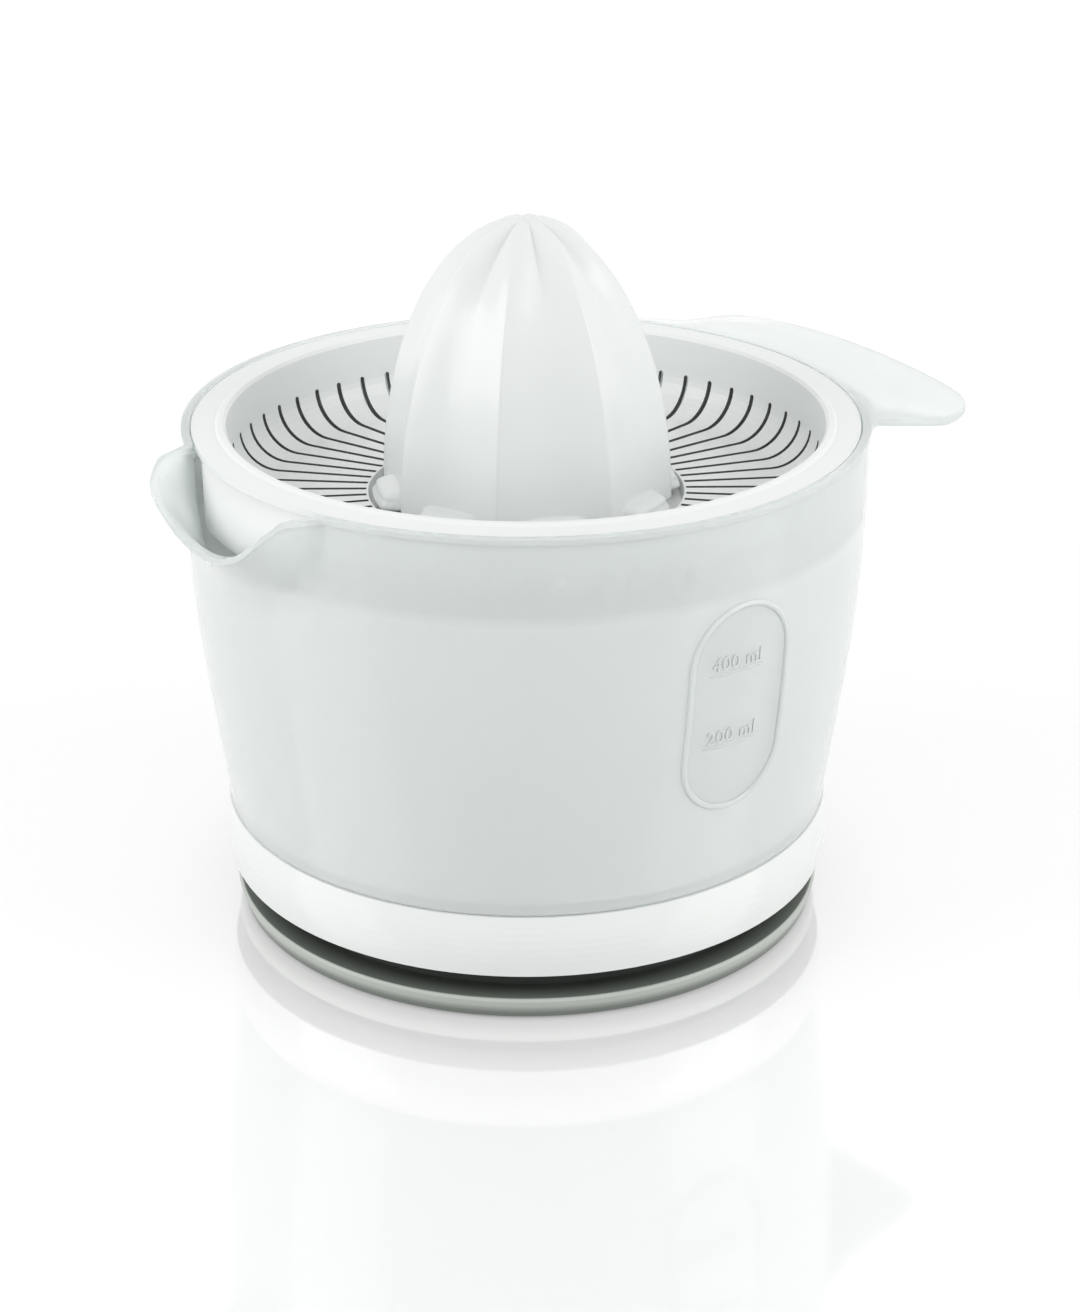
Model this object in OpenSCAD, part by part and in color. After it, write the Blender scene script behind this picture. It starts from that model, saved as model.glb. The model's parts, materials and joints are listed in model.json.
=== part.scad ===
// Electric citrus press: a squeezing cone turns over a slotted sieve, juice falls into a pouring jug,
// and a low base with a domed top holds the motor, its gears and the press-to-start switch.
// Origin on the pressing axis at table level, +Z up, handle towards +X, spout towards -X,
// level window towards -Y, cord outlet towards +Y.

/* [Base] */
// How far the rubber feet stand below the rim of the base plate
foot_stand = 0.6; // [0.4:0.1:2]
// Height of the base plate's outer edge
plate_h = 5.1; // [4.8:0.1:8]
// How far the base plate stands back from the housing band above it
plate_inset = 1.3; // [0.5:0.1:3]
// How much narrower the base plate is at its lower edge
plate_taper = 1.3; // [0.5:0.1:3]
// Height of the groove that the mains cord is wound into
groove_h = 7; // [6.8:0.1:9]
// How far the neck inside the cord groove stands out from the foot of the dome
neck_out = 5.5; // [5:0.1:6]
// Depth of the cord groove, from the lower edge of the housing band to the neck
groove_depth = 8.8; // [7:0.1:10]
// Height of the housing band
band_h = 15.3; // [14:0.1:20]
// How far the band bulges at half height
band_bulge = 1; // [0.2:0.1:2]
// Wall of the housing
shell = 2.4; // [2:0.1:3]
// Free space between the intermediate wheel and the side of the motor dome
dome_gap = 4.4; // [4:0.1:4.8]
// Inward lean of the dome's side, from the ledge to the shoulder
dome_draft = 2; // [1:0.1:3]
// Height of the dome above the ledge
dome_h = 58; // [57.5:0.1:60]
// Radius of the dome's rounded shoulder
shoulder_r = 18; // [14:0.5:20]
// Radius of the turret around the spindle
turret_r = 11; // [10.5:0.1:12]
// Height of the turret above the dome
turret_h = 6; // [5:0.1:7]
// Radius of a rubber foot
foot_r = 6; // [4:0.5:7]
// Free space between a foot's socket and the turned-down edge of the base plate
foot_margin = 1.9; // [0.5:0.1:6]
// Radius of the cord outlet's bore
cord_bore_r = 2.75; // [2.3:0.05:2.9]

/* [Jug] */
// How far the jug's foot stands back from the housing band's lower edge
foot_inset = 0.3; // [0.1:0.1:1]
// Radius of the jug at its rim
jug_rim_r = 81.4; // [80.5:0.1:85]
// Wall of the jug
jug_wall = 1.8; // [1.4:0.1:2.2]
// How early the wall swells to its full radius
jug_swell = 1.25; // [1.05:0.05:1.6]
// Free space between the dome and the jug's chimney
chimney_gap = 1; // [0.5:0.1:2]
// Height of the collar that keeps juice off the spindle
collar_h = 8.2; // [7:0.1:9]
// How far the spout reaches past the rim
spout_reach = 8.4; // [5:0.1:12]
// How far the spout's lip dips below the rim
spout_dip = 13.9; // [10:0.1:16]
// Half the angle that the spout takes of the rim
spout_half = 22; // [18:0.5:26]
// Height of wall that swells into the spout
spout_depth = 31; // [26:0.5:31]
// Distance from the axis to the handle's end edge
handle_end = 104; // [96:0.5:112]
// Half the width of the handle
handle_half = 50.5; // [40:0.5:54]
// Thickness of the handle sheet
handle_t = 2.2; // [1.6:0.1:3]
// How far the end of the handle lies below the rim
handle_drop = 1.65; // [0:0.05:4]
// How far the handle's corners droop below its middle
handle_crown = 4.6; // [0:0.1:8]
// Width of the level window
window_w = 29; // [20:0.5:34]
// Height of the level window
window_h = 52.5; // [40:0.5:58]
// Height of the window's centre above the table
window_z = 76.2; // [70:0.1:80]
// Width of the bead around the window
bead_w = 1.6; // [1:0.1:2.4]
// How far the bead stands proud of the wall
bead_proud = 0.6; // [0.3:0.05:1]

/* [Sieve] */
// Width of the rim, from the sieve's mouth to the outside of the jug
flange_w = 10.3; // [9.5:0.1:13]
// Height of the recess under the cone above the turret
sieve_rise = 10.2; // [9.8:0.1:14]
// Depth of the sieve floor below the rim
sieve_depth = 18.8; // [17:0.1:22]
// Wall of the sieve
sieve_wall = 1.6; // [1.2:0.1:2]
// Radius where the floor turns up into the wall
sieve_fillet = 9.5; // [6:0.5:12]
// Number of juice slots
slot_count = 60; // [36:1:72]
// Width of a juice slot
slot_w = 1.2; // [0.6:0.1:1.6]
// Distance from the axis to the inner end of a slot
slot_in_r = 38.4; // [38.4:0.2:42]
// Height of the slots' upper ends above the sieve floor
slot_rise = 9.2; // [7:0.1:11]
// Depth of the recess under the cone
recess_depth = 2.4; // [2.3:0.1:3]
// Height of the hub collar above the recess
hub_rise = 7.8; // [6:0.1:8.2]

/* [Cone] */
// Radius of the ribs at the foot of the cone
cone_r = 35.2; // [33:0.1:36]
// Height of the cone
cone_h = 67; // [60:0.5:72]
// Number of ribs
rib_count = 8; // [6:1:10]
// Depth of the flutes, as a share of the rib radius
flute = 0.12; // [0.06:0.01:0.14]
// Turn of the ribs about the axis in degrees
rib_turn = -2.5; // [-20:0.5:20]
// Radius reached by the petals at the foot
petal_r = 36.9; // [36.2:0.1:37]
// Height of the petals
petal_h = 5.6; // [4:0.1:8]
// Wall of the cone at the bottom of the flutes
cone_wall = 2; // [1.6:0.1:2.6]
// Radius of the drive socket's boss
socket_boss_r = 8; // [7:0.1:9]

/* [Drive] */
// Radius of the spindle's round part
spindle_r = 6; // [5.5:0.1:6.5]
// Width across flats of the spindle's upper hexagon
top_hex = 9; // [7:0.1:9.5]
// Width across flats of the spindle's tail
tail_hex = 5.2; // [4.6:0.1:5.4]
// Travel of the spindle that starts the motor
press_travel = 1.6; // [1:0.1:1.8]
// Module of the first gear pair
module_1 = 0.7; // [0.68:0.01:0.72]
// Teeth of the motor pinion
teeth_motor = 10; // [9:1:10]
// Teeth of the intermediate wheel
teeth_wheel = 62; // [58:1:63]
// Module of the second gear pair
module_2 = 0.9; // [0.88:0.01:0.92]
// Teeth of the intermediate pinion
teeth_pinion = 10; // [9:1:11]
// Teeth of the output gear
teeth_output = 54; // [53:1:56]
// Distance of the motor's shaft from the pressing axis
rotor_place = 22; // [21:0.5:24]
// Thickness of the gear plate
gear_plate_t = 3; // [2.5:0.1:3.5]
// Height of the gear plate's underside above the table
gear_plate_z = 58; // [57.5:0.1:58.5]
// Height of the gear room from the plate to the pressing turret's boss
gear_room = 18.5; // [18.3:0.1:19]

/* [Motor] */
// Height of the lamination stack
stack_h = 20; // [16:0.5:22]
// Height of the stack's underside above the table
stack_z = 16; // [14:0.5:18]
// Radius of the rotor magnet
magnet_r = 11.2; // [9:0.1:12]
// Air gap between the magnet and the poles
air_gap = 0.8; // [0.5:0.1:1.2]
// Radius of the motor shaft
shaft_r = 1.5; // [1.2:0.1:1.6]
// Distance from one leg's centre line to the other's
leg_pitch = 30; // [28:0.5:32]
// Width of a leg of the core
leg_w = 9; // [7:0.5:10]
// Thickness of the winding around a leg
winding_t = 5; // [3:0.1:5]
// Wall of a coil bobbin
bobbin_t = 1.2; // [0.8:0.1:1.4]

/* [Fits] */
// Radial clearance of a running fit
run = 0.05; // [0.03:0.01:0.08]
// Clearance between parts that stay together
seat = 0.05; // [0.02:0.01:0.1]
// Free space between parts that move past each other
free = 0.3; // [0.25:0.05:0.35]

/* [Hidden] */
$fn = 96;
HULL_FN = 32;

// Levels above the table
plate_top = foot_stand + plate_h;
band_z = plate_top + groove_h;
ledge_z = band_z + band_h;
dome_top = ledge_z + dome_h;
turret_top = dome_top + turret_h;
recess_z = turret_top + sieve_rise;
sieve_floor = recess_z + recess_depth;
rim_z = sieve_floor + sieve_depth;
jug_h = rim_z - ledge_z;

// Radii of the base, from the gear train outwards
centre_1 = module_1 * (teeth_motor + teeth_wheel) / 2;
centre_2 = module_2 * (teeth_pinion + teeth_output) / 2;
wheel_tip_r = module_1 * (teeth_wheel / 2 + 1);
dome_r = centre_2 + wheel_tip_r + dome_gap + dome_draft + shell;
neck_r = dome_r + neck_out;
band_r = neck_r + groove_depth;
plate_r = band_r - plate_inset;

// Base plate
plate_t = 2.5;
plate_edge = 2.2;
foot_socket_w = 1.6;
foot_place = plate_r - plate_taper - plate_edge - foot_r - foot_socket_w - foot_margin;
neck_wall = 2.2;
neck_lap = 4;
boss_r = 3.8;
boss_gap = 1;
boss_joint = band_z + 2.3;
base_screw_place = neck_r - neck_wall - boss_r - boss_gap;
screw_r = 1.5;
screw_head_r = 2.8;
screw_head_h = 2.4;
head_seat = plate_top + 3.2;
cross_w = 0.7;
cross_depth = 1;
lip_gap = 0.5;

// Cord outlet
gland_z = plate_top + groove_h / 2;
gland_r = cord_bore_r + 0.6;
gland_len = 7;
gland_flange_r = 4.4;

// Terminal block
block_size = [16, 9, 9];
block_y = 40;
block_bore_r = 1.4;
block_bore_z = 3.5;
block_hole_pitch = 8;

// Dome profile
dome_flat_r = dome_r - dome_draft - shoulder_r;
shoulder_z = dome_top - shoulder_r;
axle_boss_r = 4;
plate_boss_r = 4.5;
plate_boss_room = 6.1;
plate_boss_place = dome_r - shell - plate_boss_r - plate_boss_room;
gear_plate_edge = 1;
plate_screw_depth = 10;
turret_foot = gear_plate_z + gear_plate_t + gear_room;
bush_wall = 2.5;
turret_bore = spindle_r + bush_wall;
seal_z = turret_top - 3.2;

// Gear train: the motor shaft lies on -X, the intermediate axle on the +Y side
axle_x = (centre_1 * centre_1 - centre_2 * centre_2 - rotor_place * rotor_place) / (2 * rotor_place);
axle_y = sqrt(centre_2 * centre_2 - axle_x * axle_x);
axle_angle = atan2(axle_y, axle_x);
rotor_angle = atan2(-axle_y, -rotor_place - axle_x);
gear_floor = gear_plate_z + gear_plate_t;
washer_t = 0.5;
washer_w = 3;
axle_washer_t = 1.3;
bush_flange_t = 1.2;
wheel_t = 4;
wheel_z = gear_floor + axle_washer_t + 0.1;
output_t = 6.5;
output_z = wheel_z + wheel_t + 2.6;
pinion_top = output_z + output_t + 0.5;
hub_top = output_z + output_t + 1.5;
hub_low_r = 5.2;
journal_r = 4.4;
hub_low = gear_plate_z - 0.6;
pocket_r = 5;
pocket_wall = 2;
spring_seat = output_z;
backlash = 0.09;
wheel_hole_r = 4;
wheel_hole_place = 13;
output_hole_r = 4.2;
output_hole_place = 14.5;

// Spindle
spindle_low = hub_top + press_travel + 0.4;
tail_low = hub_low - 2.2;
clip_t = 1;
clip_z = hub_low - free - clip_t;
clip_groove_r = 2.1;
clip_w = 2.2;
clip_mouth = 3.2;
nose_h = 1.8;
hub_collar_r = spindle_r + 2.5;
shoulder_top = recess_z + hub_rise + 0.8;
socket_depth = 41;
socket_top = shoulder_top + socket_depth;
spring_wire_r = 0.4;
spring_r = 4.2;
spring_turns = 5;
spring_steps = 20;

// Switch under the spindle
switch_l = 20;
switch_w = 6.4;
switch_h = 10;
plunger_r = 1.2;
plunger_top = tail_low - free;
switch_top = plunger_top - press_travel - 0.2;
plunger_low = switch_top - 3.4;
switch_low = switch_top - switch_h;
switch_front = -6;
rib_t = 2.5;
switch_holes = [-4, 11];
switch_hole_z = switch_low + 7;
switch_screw_r = 0.85;
tag_places = [-3, 4, 11];
tag_size = [3.2, 4, 0.8];
tag_z = switch_low + 2;
wire_r = 0.9;

// Motor
core_left = -rotor_place - 16;
yoke_x = 26;
yoke_w = leg_w;
coil_start = -rotor_place + magnet_r + air_gap + 5;
coil_end = yoke_x - 0.4;
winding_margin = 0.4;
pole_split = 2;
core_half = leg_pitch / 2 + leg_w / 2;
stack_top = stack_z + stack_h;
bore_r = magnet_r + air_gap;
bolt_left = [-rotor_place - 11.5, leg_pitch / 2];
bolt_right = [yoke_x + yoke_w / 2, leg_pitch / 2];
column_r = 3.6;
bracket_t = 1.5;
bracket_z = stack_z - bracket_t - 0.1;
bracket_w = 8;
bracket_boss_r = 6;
screw_lug = 1.3;
small_head_h = 1.8;
bush_r = 3.5;
shaft_low = bracket_z - 3;
shaft_top = wheel_z + wheel_t + 1.1;
bolt_r = 1.25;

// Jug and sieve
jug_seat = 0.1;
jug_low = ledge_z + jug_seat;
jug_floor_t = 2;
cut_z = rim_z - spout_depth - 0.4;
rim_bead = 0.3;
rim_edge = 1.5;
flange_t = 1.8;
ledge_in = jug_wall + 1.7;
rim_inner = jug_rim_r - jug_wall;
jug_foot_r = band_r - foot_inset;
sieve_r = jug_rim_r - flange_w;
seam_step = 0.12;
lift_gap = 0.2;
skirt_low = rim_z - 10.4;
skirt_r = rim_inner - ledge_in + jug_wall - free;
wall_steps = 14;
recess_r = 37.6;
drip_r = turret_r + 5;
drip_low = recess_z - sieve_wall - 3;
collar_r = turret_r + 1.2;

// Cone
cone_low = recess_z + press_travel + 0.6;
web_t = 1.6;
cone_rows = 22;
cone_cols = rib_count * 14;

// ---------- shared shapes ----------

// Points of an arc about (x, z), from angle a0 to a1, both ends included
function arc(x, z, r, a0, a1, n) =
    [for (i = [0:n]) let (a = a0 + (a1 - a0) * i / n) [x + r * cos(a), z + r * sin(a)]];

// Smooth step from 0 to 1 as t goes from 0 to 1
function ease(t) = let (u = max(0, min(1, t))) u * u * (3 - 2 * u);

// Part-way from a to b
function mix(a, b, t) = a + (b - a) * t;

// Involute of the pressure angle a, in degrees
function inv(a) = tan(a) * 180 / PI - a;

// Half of a tooth's angle at radius r; the tooth is thinned by the backlash
function half_tooth(r, teeth, m) =
    let (pitch = m * teeth / 2, base = pitch * cos(20), a = r > base ? acos(base / r) : 0)
    90 / teeth - backlash / pitch * 180 / PI + inv(20) - inv(a);

// Outline of a spur gear with its first tooth on +X
function gear_outline(teeth, m, addendum) =
    let (pitch = m * teeth / 2, root = pitch - 1.2 * m, tip = pitch + addendum * m)
    [for (i = [0:teeth - 1], p = [
            [root, -1], [mix(root, tip, 0.45), -1], [mix(root, tip, 0.75), -1], [tip, -1],
            [tip, 1], [mix(root, tip, 0.75), 1], [mix(root, tip, 0.45), 1], [root, 1]])
        let (a = 360 * i / teeth + p[1] * half_tooth(max(p[0], 0), teeth, m))
        [p[0] * cos(a), p[0] * sin(a)]];

module gear(teeth, m, h, turn, addendum = 1) {
    rotate([0, 0, turn]) linear_extrude(h) polygon(gear_outline(teeth, m, addendum));
}

// Upright tube from z0 to z1
module ring(r_out, r_in, z0, z1) {
    translate([0, 0, z0]) difference() {
        cylinder(r = r_out, h = z1 - z0);
        translate([0, 0, -1]) cylinder(r = r_in, h = z1 - z0 + 2);
    }
}

// Upright rod from z0 to z1
module rod(r, z0, z1) {
    translate([0, 0, z0]) cylinder(r = r, h = z1 - z0);
}

// Upright hexagonal bar, measured across its flats
module hex_bar(flats, z0, z1) {
    translate([0, 0, z0]) cylinder(r = flats / 2 / cos(30), h = z1 - z0, $fn = 6);
}

// Screw with its head at the bottom; head_z is the plane that the head bears on
module screw(head_z, tip_z, r, head_r, head_h) {
    difference() {
        union() {
            rod(head_r, head_z - head_h, head_z);
            rod(r, head_z, tip_z - r);
            translate([0, 0, tip_z - r]) cylinder(r1 = r, r2 = r / 4, h = r);
        }
        for (a = [0, 90]) rotate([0, 0, a])
            translate([-head_r * 0.7, -cross_w / 2, head_z - head_h - 1])
                cube([head_r * 1.4, cross_w, 1 + cross_depth]);
    }
}

// Closed skin over a grid of points: rows of equal length, each closed on itself, with a fan over each end
module skin(rows) {
    n = len(rows[0]);
    m = len(rows);
    ends = [rows[0], rows[m - 1]];
    middle = [for (row = ends) [for (c = [0:2]) [for (p = row) p[c]] * [for (p = row) 1 / n]]];
    polyhedron(
        points = concat([for (row = rows, p = row) p], middle),
        faces = concat(
            [for (i = [0:n - 1]) [i, (i + 1) % n, m * n]],
            [for (j = [0:m - 2], i = [0:n - 1])
                let (k = (i + 1) % n)
                each [[j * n + i, j * n + n + i, j * n + k], [j * n + k, j * n + n + i, j * n + n + k]]],
            [for (i = [0:n - 1]) [(m - 1) * n + (i + 1) % n, (m - 1) * n + i, m * n + 1]]));
}

// Tube of radius r along a path, with n sides; each ring stands square to the path
function unit(v) = v / norm(v);
function path_dir(path, i) = unit(path[min(i + 1, len(path) - 1)] - path[max(i - 1, 0)]);
function side_of(d) = unit(cross(d, abs(d[2]) > 0.9 ? [1, 0, 0] : [0, 0, 1]));
module tube(path, r, n = 8) {
    skin([for (i = [0:len(path) - 1]) let (d = path_dir(path, i), s = side_of(d), t = cross(d, s))
        [for (k = [0:n - 1]) path[i] + r * cos(360 * k / n) * s + r * sin(360 * k / n) * t]]);
}

// ---------- base ----------

// Outer profile of the dome, from the ledge to the flat top, grown outwards by g
function dome_line(g) = concat([[dome_r + g, ledge_z]],
    arc(dome_flat_r, shoulder_z, shoulder_r + g, 0, 90, 12));

// Housing band, from its lower edge to the ledge
function band_line(g) =
    [for (i = [0:8]) [band_r + band_bulge * sin(180 * i / 8) - g, mix(band_z, ledge_z, i / 8)]];

module dome_solid(g) {
    rotate_extrude() polygon(concat([[0, ledge_z - shell], [dome_r + g, ledge_z - shell]], dome_line(g),
        [[0, dome_top + g]]));
}

// Puts its children where the base screws, the gear plate's screws and the rubber feet stand
module at_base_screws() {
    for (k = [0:3]) rotate([0, 0, 45 + 90 * k]) translate([base_screw_place, 0, 0]) children();
}

module at_plate_screws() {
    for (k = [0:2]) rotate([0, 0, axle_angle + 60 + 120 * k]) translate([plate_boss_place, 0, 0]) children();
}

module at_feet() {
    for (k = [0:3]) rotate([0, 0, 90 * k]) translate([foot_place, 0, 0]) children();
}

module base_housing() {
    color("white") difference() {
        union() {
            rotate_extrude() polygon(concat(
                [[neck_r + lip_gap, band_z]],
                band_line(0),
                dome_line(0),
                [[turret_r, dome_top], [turret_r, turret_top], [turret_bore, turret_top],
                    [turret_bore, turret_foot], [turret_r, turret_foot], [turret_r, dome_top - shell]],
                [for (i = [12:-1:0]) arc(dome_flat_r, shoulder_z, shoulder_r - shell, 0, 90, 12)[i]],
                [[dome_r - shell, ledge_z - shell]],
                [[band_r - shell, ledge_z - shell], [band_r - shell, band_z + shell],
                    [neck_r + lip_gap, band_z + shell]]));
            intersection() {
                dome_solid(-shell / 2);
                union() {
                    at_plate_screws() rod(plate_boss_r, gear_floor, dome_top);
                    translate([axle_x, axle_y, 0]) rod(axle_boss_r, pinion_top + 1.2, dome_top);
                }
            }
            at_base_screws() rod(boss_r, boss_joint, ledge_z - shell / 2);
        }
        at_plate_screws() rod(bolt_r + seat, gear_floor - 1, gear_floor + plate_screw_depth);
        translate([axle_x, axle_y, 0]) rod(shaft_r + seat, pinion_top, dome_top - shell);
        at_base_screws() rod(screw_r + seat, boss_joint - 1, ledge_z - 2 * shell + 0.2);
    }
}

module base_plate() {
    color("silver") difference() {
        union() {
            rotate_extrude() polygon([
                [0, plate_top - plate_t], [plate_r - plate_taper - plate_edge, plate_top - plate_t],
                [plate_r - plate_taper - plate_edge, foot_stand], [plate_r - plate_taper, foot_stand],
                [plate_r, plate_top - 0.6], [plate_r - 0.6, plate_top], [neck_r, plate_top],
                [neck_r, band_z + neck_lap], [neck_r - neck_wall, band_z + neck_lap],
                [neck_r - neck_wall, plate_top], [0, plate_top]]);
            at_base_screws() rod(boss_r, plate_top - 0.5, boss_joint);
            at_feet() ring(foot_r + foot_socket_w, foot_r + 0.1, foot_stand + 0.4, plate_top - plate_t + 0.5);
        }
        at_base_screws() {
            rod(screw_head_r + 0.2, foot_stand - 1, head_seat);
            rod(screw_r + 0.2, head_seat - 1, boss_joint + 1);
        }
        translate([0, neck_r + 1, gland_z]) rotate([90, 0, 0]) cylinder(r = gland_r, h = neck_wall + 4);
    }
}

// Sleeve through the neck; its inner collar has a flat side that rests on the base plate
module cord_gland() {
    collar_from = neck_wall + 1.2;
    color("dimgray") translate([0, neck_r, gland_z]) rotate([90, 0, 0]) difference() {
        union() {
            cylinder(r = gland_r - seat, h = gland_len);
            difference() {
                translate([0, 0, collar_from]) cylinder(r = gland_flange_r, h = gland_len - collar_from);
                translate([-gland_flange_r, -gland_flange_r - groove_h / 2 + seat, 0])
                    cube([2 * gland_flange_r, gland_flange_r, gland_len + 1]);
            }
        }
        translate([0, 0, -1]) cylinder(r = cord_bore_r, h = gland_len + 2);
    }
}

module rubber_feet() {
    color("dimgray") at_feet() rotate_extrude()
        polygon([[0, 0], [foot_r - 0.8, 0], [foot_r, 0.5], [foot_r, plate_top - plate_t - seat],
            [0, plate_top - plate_t - seat]]);
}

module base_screws() {
    color("gray") at_base_screws()
        screw(head_seat - seat, ledge_z - 2 * shell, screw_r, screw_head_r, screw_head_h);
}

module terminal_block() {
    color("ivory") difference() {
        translate([-block_size[0] / 2, block_y, plate_top + seat]) cube(block_size);
        for (s = [-1, 1]) translate([s * block_hole_pitch / 2, block_y - 1, plate_top + block_bore_z]) {
            rotate([-90, 0, 0]) cylinder(r = block_bore_r, h = block_size[1] + 2);
            translate([0, block_size[1] / 2 + 1, 0]) cylinder(r = block_bore_r - 0.2, h = block_size[2]);
        }
    }
}

// ---------- gear plate and motor ----------

module at_bolts() {
    for (s = [-1, 1], p = [bolt_left, bolt_right]) translate([p[0], s * p[1], 0]) children();
}

module gear_plate() {
    color("gainsboro") difference() {
        union() {
            rod(plate_boss_place + plate_boss_r + gear_plate_edge, gear_plate_z, gear_floor);
            at_bolts() rod(column_r, stack_top, gear_plate_z + 1);
            translate([axle_x, axle_y, 0]) rod(axle_boss_r, gear_plate_z - 4, gear_plate_z + 1);
            translate([-rotor_place, 0, 0]) rod(bush_r + 2, gear_plate_z - 2, gear_plate_z + 1);
            translate([switch_front, switch_w / 2 + seat, switch_low + 0.5])
                cube([switch_l, rib_t, gear_plate_z - switch_low]);
        }
        rod(journal_r + run, gear_plate_z - 5, gear_floor + 1);
        translate([-rotor_place, 0, 0]) rod(bush_r + seat, gear_plate_z - 3, gear_floor + 1);
        translate([axle_x, axle_y, 0]) rod(shaft_r + seat, gear_plate_z - 3.2, gear_floor + 1);
        at_bolts() rod(bolt_r + seat, stack_top - 1, gear_plate_z - 4);
        at_plate_screws() rod(bolt_r + 0.3, gear_plate_z - 1, gear_floor + 1);
        for (x = switch_holes) translate([x, switch_w / 2 - 1, switch_hole_z])
            rotate([-90, 0, 0]) cylinder(r = switch_screw_r + seat, h = rib_t + 3);
    }
}

module gear_plate_screws() {
    color("gray") at_plate_screws()
        screw(gear_plate_z - seat, gear_floor + plate_screw_depth - 1,
            bolt_r, bolt_r + screw_lug, small_head_h);
}

module stator_core() {
    color("slategray") difference() {
        translate([0, 0, stack_z]) linear_extrude(stack_h) union() {
            translate([yoke_x, -core_half]) square([yoke_w, 2 * core_half]);
            for (s = [0, 1]) mirror([0, s]) {
                translate([-rotor_place, core_half - leg_w]) square([yoke_x + rotor_place + 1, leg_w]);
                translate([core_left, pole_split / 2])
                    square([coil_start - 1 - core_left, core_half - pole_split / 2]);
            }
        }
        translate([-rotor_place, 0, 0]) rod(bore_r, stack_z - 1, stack_top + 1);
        at_bolts() rod(bolt_r + 0.25, stack_z - 1, stack_top + 1);
    }
}

// Rectangular tube around a leg of the core, from x0 to x1, between two margins from the iron
module around_leg(x0, x1, inner, outer) {
    difference() {
        translate([x0, -leg_w / 2 - outer, stack_z - outer])
            cube([x1 - x0, leg_w + 2 * outer, stack_h + 2 * outer]);
        translate([x0 - 1, -leg_w / 2 - inner, stack_z - inner])
            cube([x1 - x0 + 2, leg_w + 2 * inner, stack_h + 2 * inner]);
    }
}

module coil_bobbins() {
    color("ivory") for (s = [-1, 1]) translate([0, s * leg_pitch / 2, 0]) {
        around_leg(coil_start, coil_end, seat, bobbin_t);
        for (x = [coil_start, coil_end - bobbin_t]) around_leg(x, x + bobbin_t, seat, bobbin_t + winding_t);
    }
}

module coil_windings() {
    color("peru") for (s = [-1, 1]) translate([0, s * leg_pitch / 2, 0])
        around_leg(coil_start + bobbin_t + seat, coil_end - bobbin_t - seat,
            bobbin_t + seat, bobbin_t + winding_t - winding_margin);
}

module motor_bracket() {
    color("silver") difference() {
        translate([0, 0, bracket_z]) linear_extrude(bracket_t) union() {
            translate([bolt_left[0] - bracket_w / 2, -bolt_left[1] - bracket_w / 2])
                square([bracket_w, 2 * bolt_left[1] + bracket_w]);
            translate([bolt_left[0], -bracket_boss_r])
                square([-rotor_place - bolt_left[0], 2 * bracket_boss_r]);
            translate([-rotor_place, 0]) circle(r = bracket_boss_r);
        }
        translate([-rotor_place, 0, 0]) rod(bush_r + seat, bracket_z - 1, stack_z);
        for (s = [-1, 1]) translate([bolt_left[0], s * bolt_left[1], 0])
            rod(bolt_r + 0.25, bracket_z - 1, stack_z);
    }
}

module motor_screws() {
    color("gray") for (s = [-1, 1]) {
        translate([bolt_left[0], s * bolt_left[1], 0])
            screw(bracket_z - seat, gear_plate_z - 5, bolt_r, bolt_r + screw_lug, small_head_h);
        translate([bolt_right[0], s * bolt_right[1], 0])
            screw(stack_z - seat, gear_plate_z - 5, bolt_r, bolt_r + screw_lug, small_head_h);
    }
}

module motor_bushes() {
    color("goldenrod") translate([-rotor_place, 0, 0]) {
        ring(bush_r, shaft_r + run, gear_plate_z - 2, gear_floor);
        ring(bush_r, shaft_r + run, bracket_z - 1.5, bracket_z + bracket_t);
    }
}

module rotor_magnet() {
    color("darkslategray") translate([-rotor_place, 0, 0])
        ring(magnet_r, shaft_r + seat, stack_z + 1.5, stack_top - 1.5);
}

module motor_shaft() {
    color("lightgray") translate([-rotor_place, 0, 0]) rod(shaft_r, shaft_low, shaft_top);
}

module motor_pinion() {
    color("ivory") difference() {
        translate([-rotor_place, 0, wheel_z - 0.4])
            gear(teeth_motor, module_1, wheel_t + 0.8, rotor_angle + 180 + 180 / teeth_motor);
        translate([-rotor_place, 0, 0]) rod(shaft_r + seat, gear_floor, shaft_top + 1);
    }
}

module intermediate_gear() {
    color("ivory") translate([axle_x, axle_y, 0]) difference() {
        union() {
            translate([0, 0, wheel_z]) gear(teeth_wheel, module_1, wheel_t, rotor_angle);
            translate([0, 0, wheel_z + wheel_t - 0.5])
                gear(teeth_pinion, module_2, pinion_top - wheel_z - wheel_t + 0.5,
                    axle_angle + 180 + 180 / teeth_pinion);
        }
        rod(shaft_r + run, wheel_z - 1, pinion_top + 1);
        for (k = [0:5]) rotate([0, 0, 60 * k]) translate([wheel_hole_place, 0, 0])
            rod(wheel_hole_r, wheel_z - 1, wheel_z + wheel_t + 1);
    }
}

module gear_axle() {
    color("lightgray") translate([axle_x, axle_y, 0]) rod(shaft_r, gear_plate_z - 3, dome_top - shell - 0.5);
}

module thrust_washers() {
    color("gray") {
        ring(journal_r + washer_w, journal_r + 0.2, gear_floor + 0.02, gear_floor + washer_t);
        translate([axle_x, axle_y, 0])
            ring(shaft_r + washer_w, shaft_r + seat, gear_floor + 0.02, gear_floor + axle_washer_t);
    }
}

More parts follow.
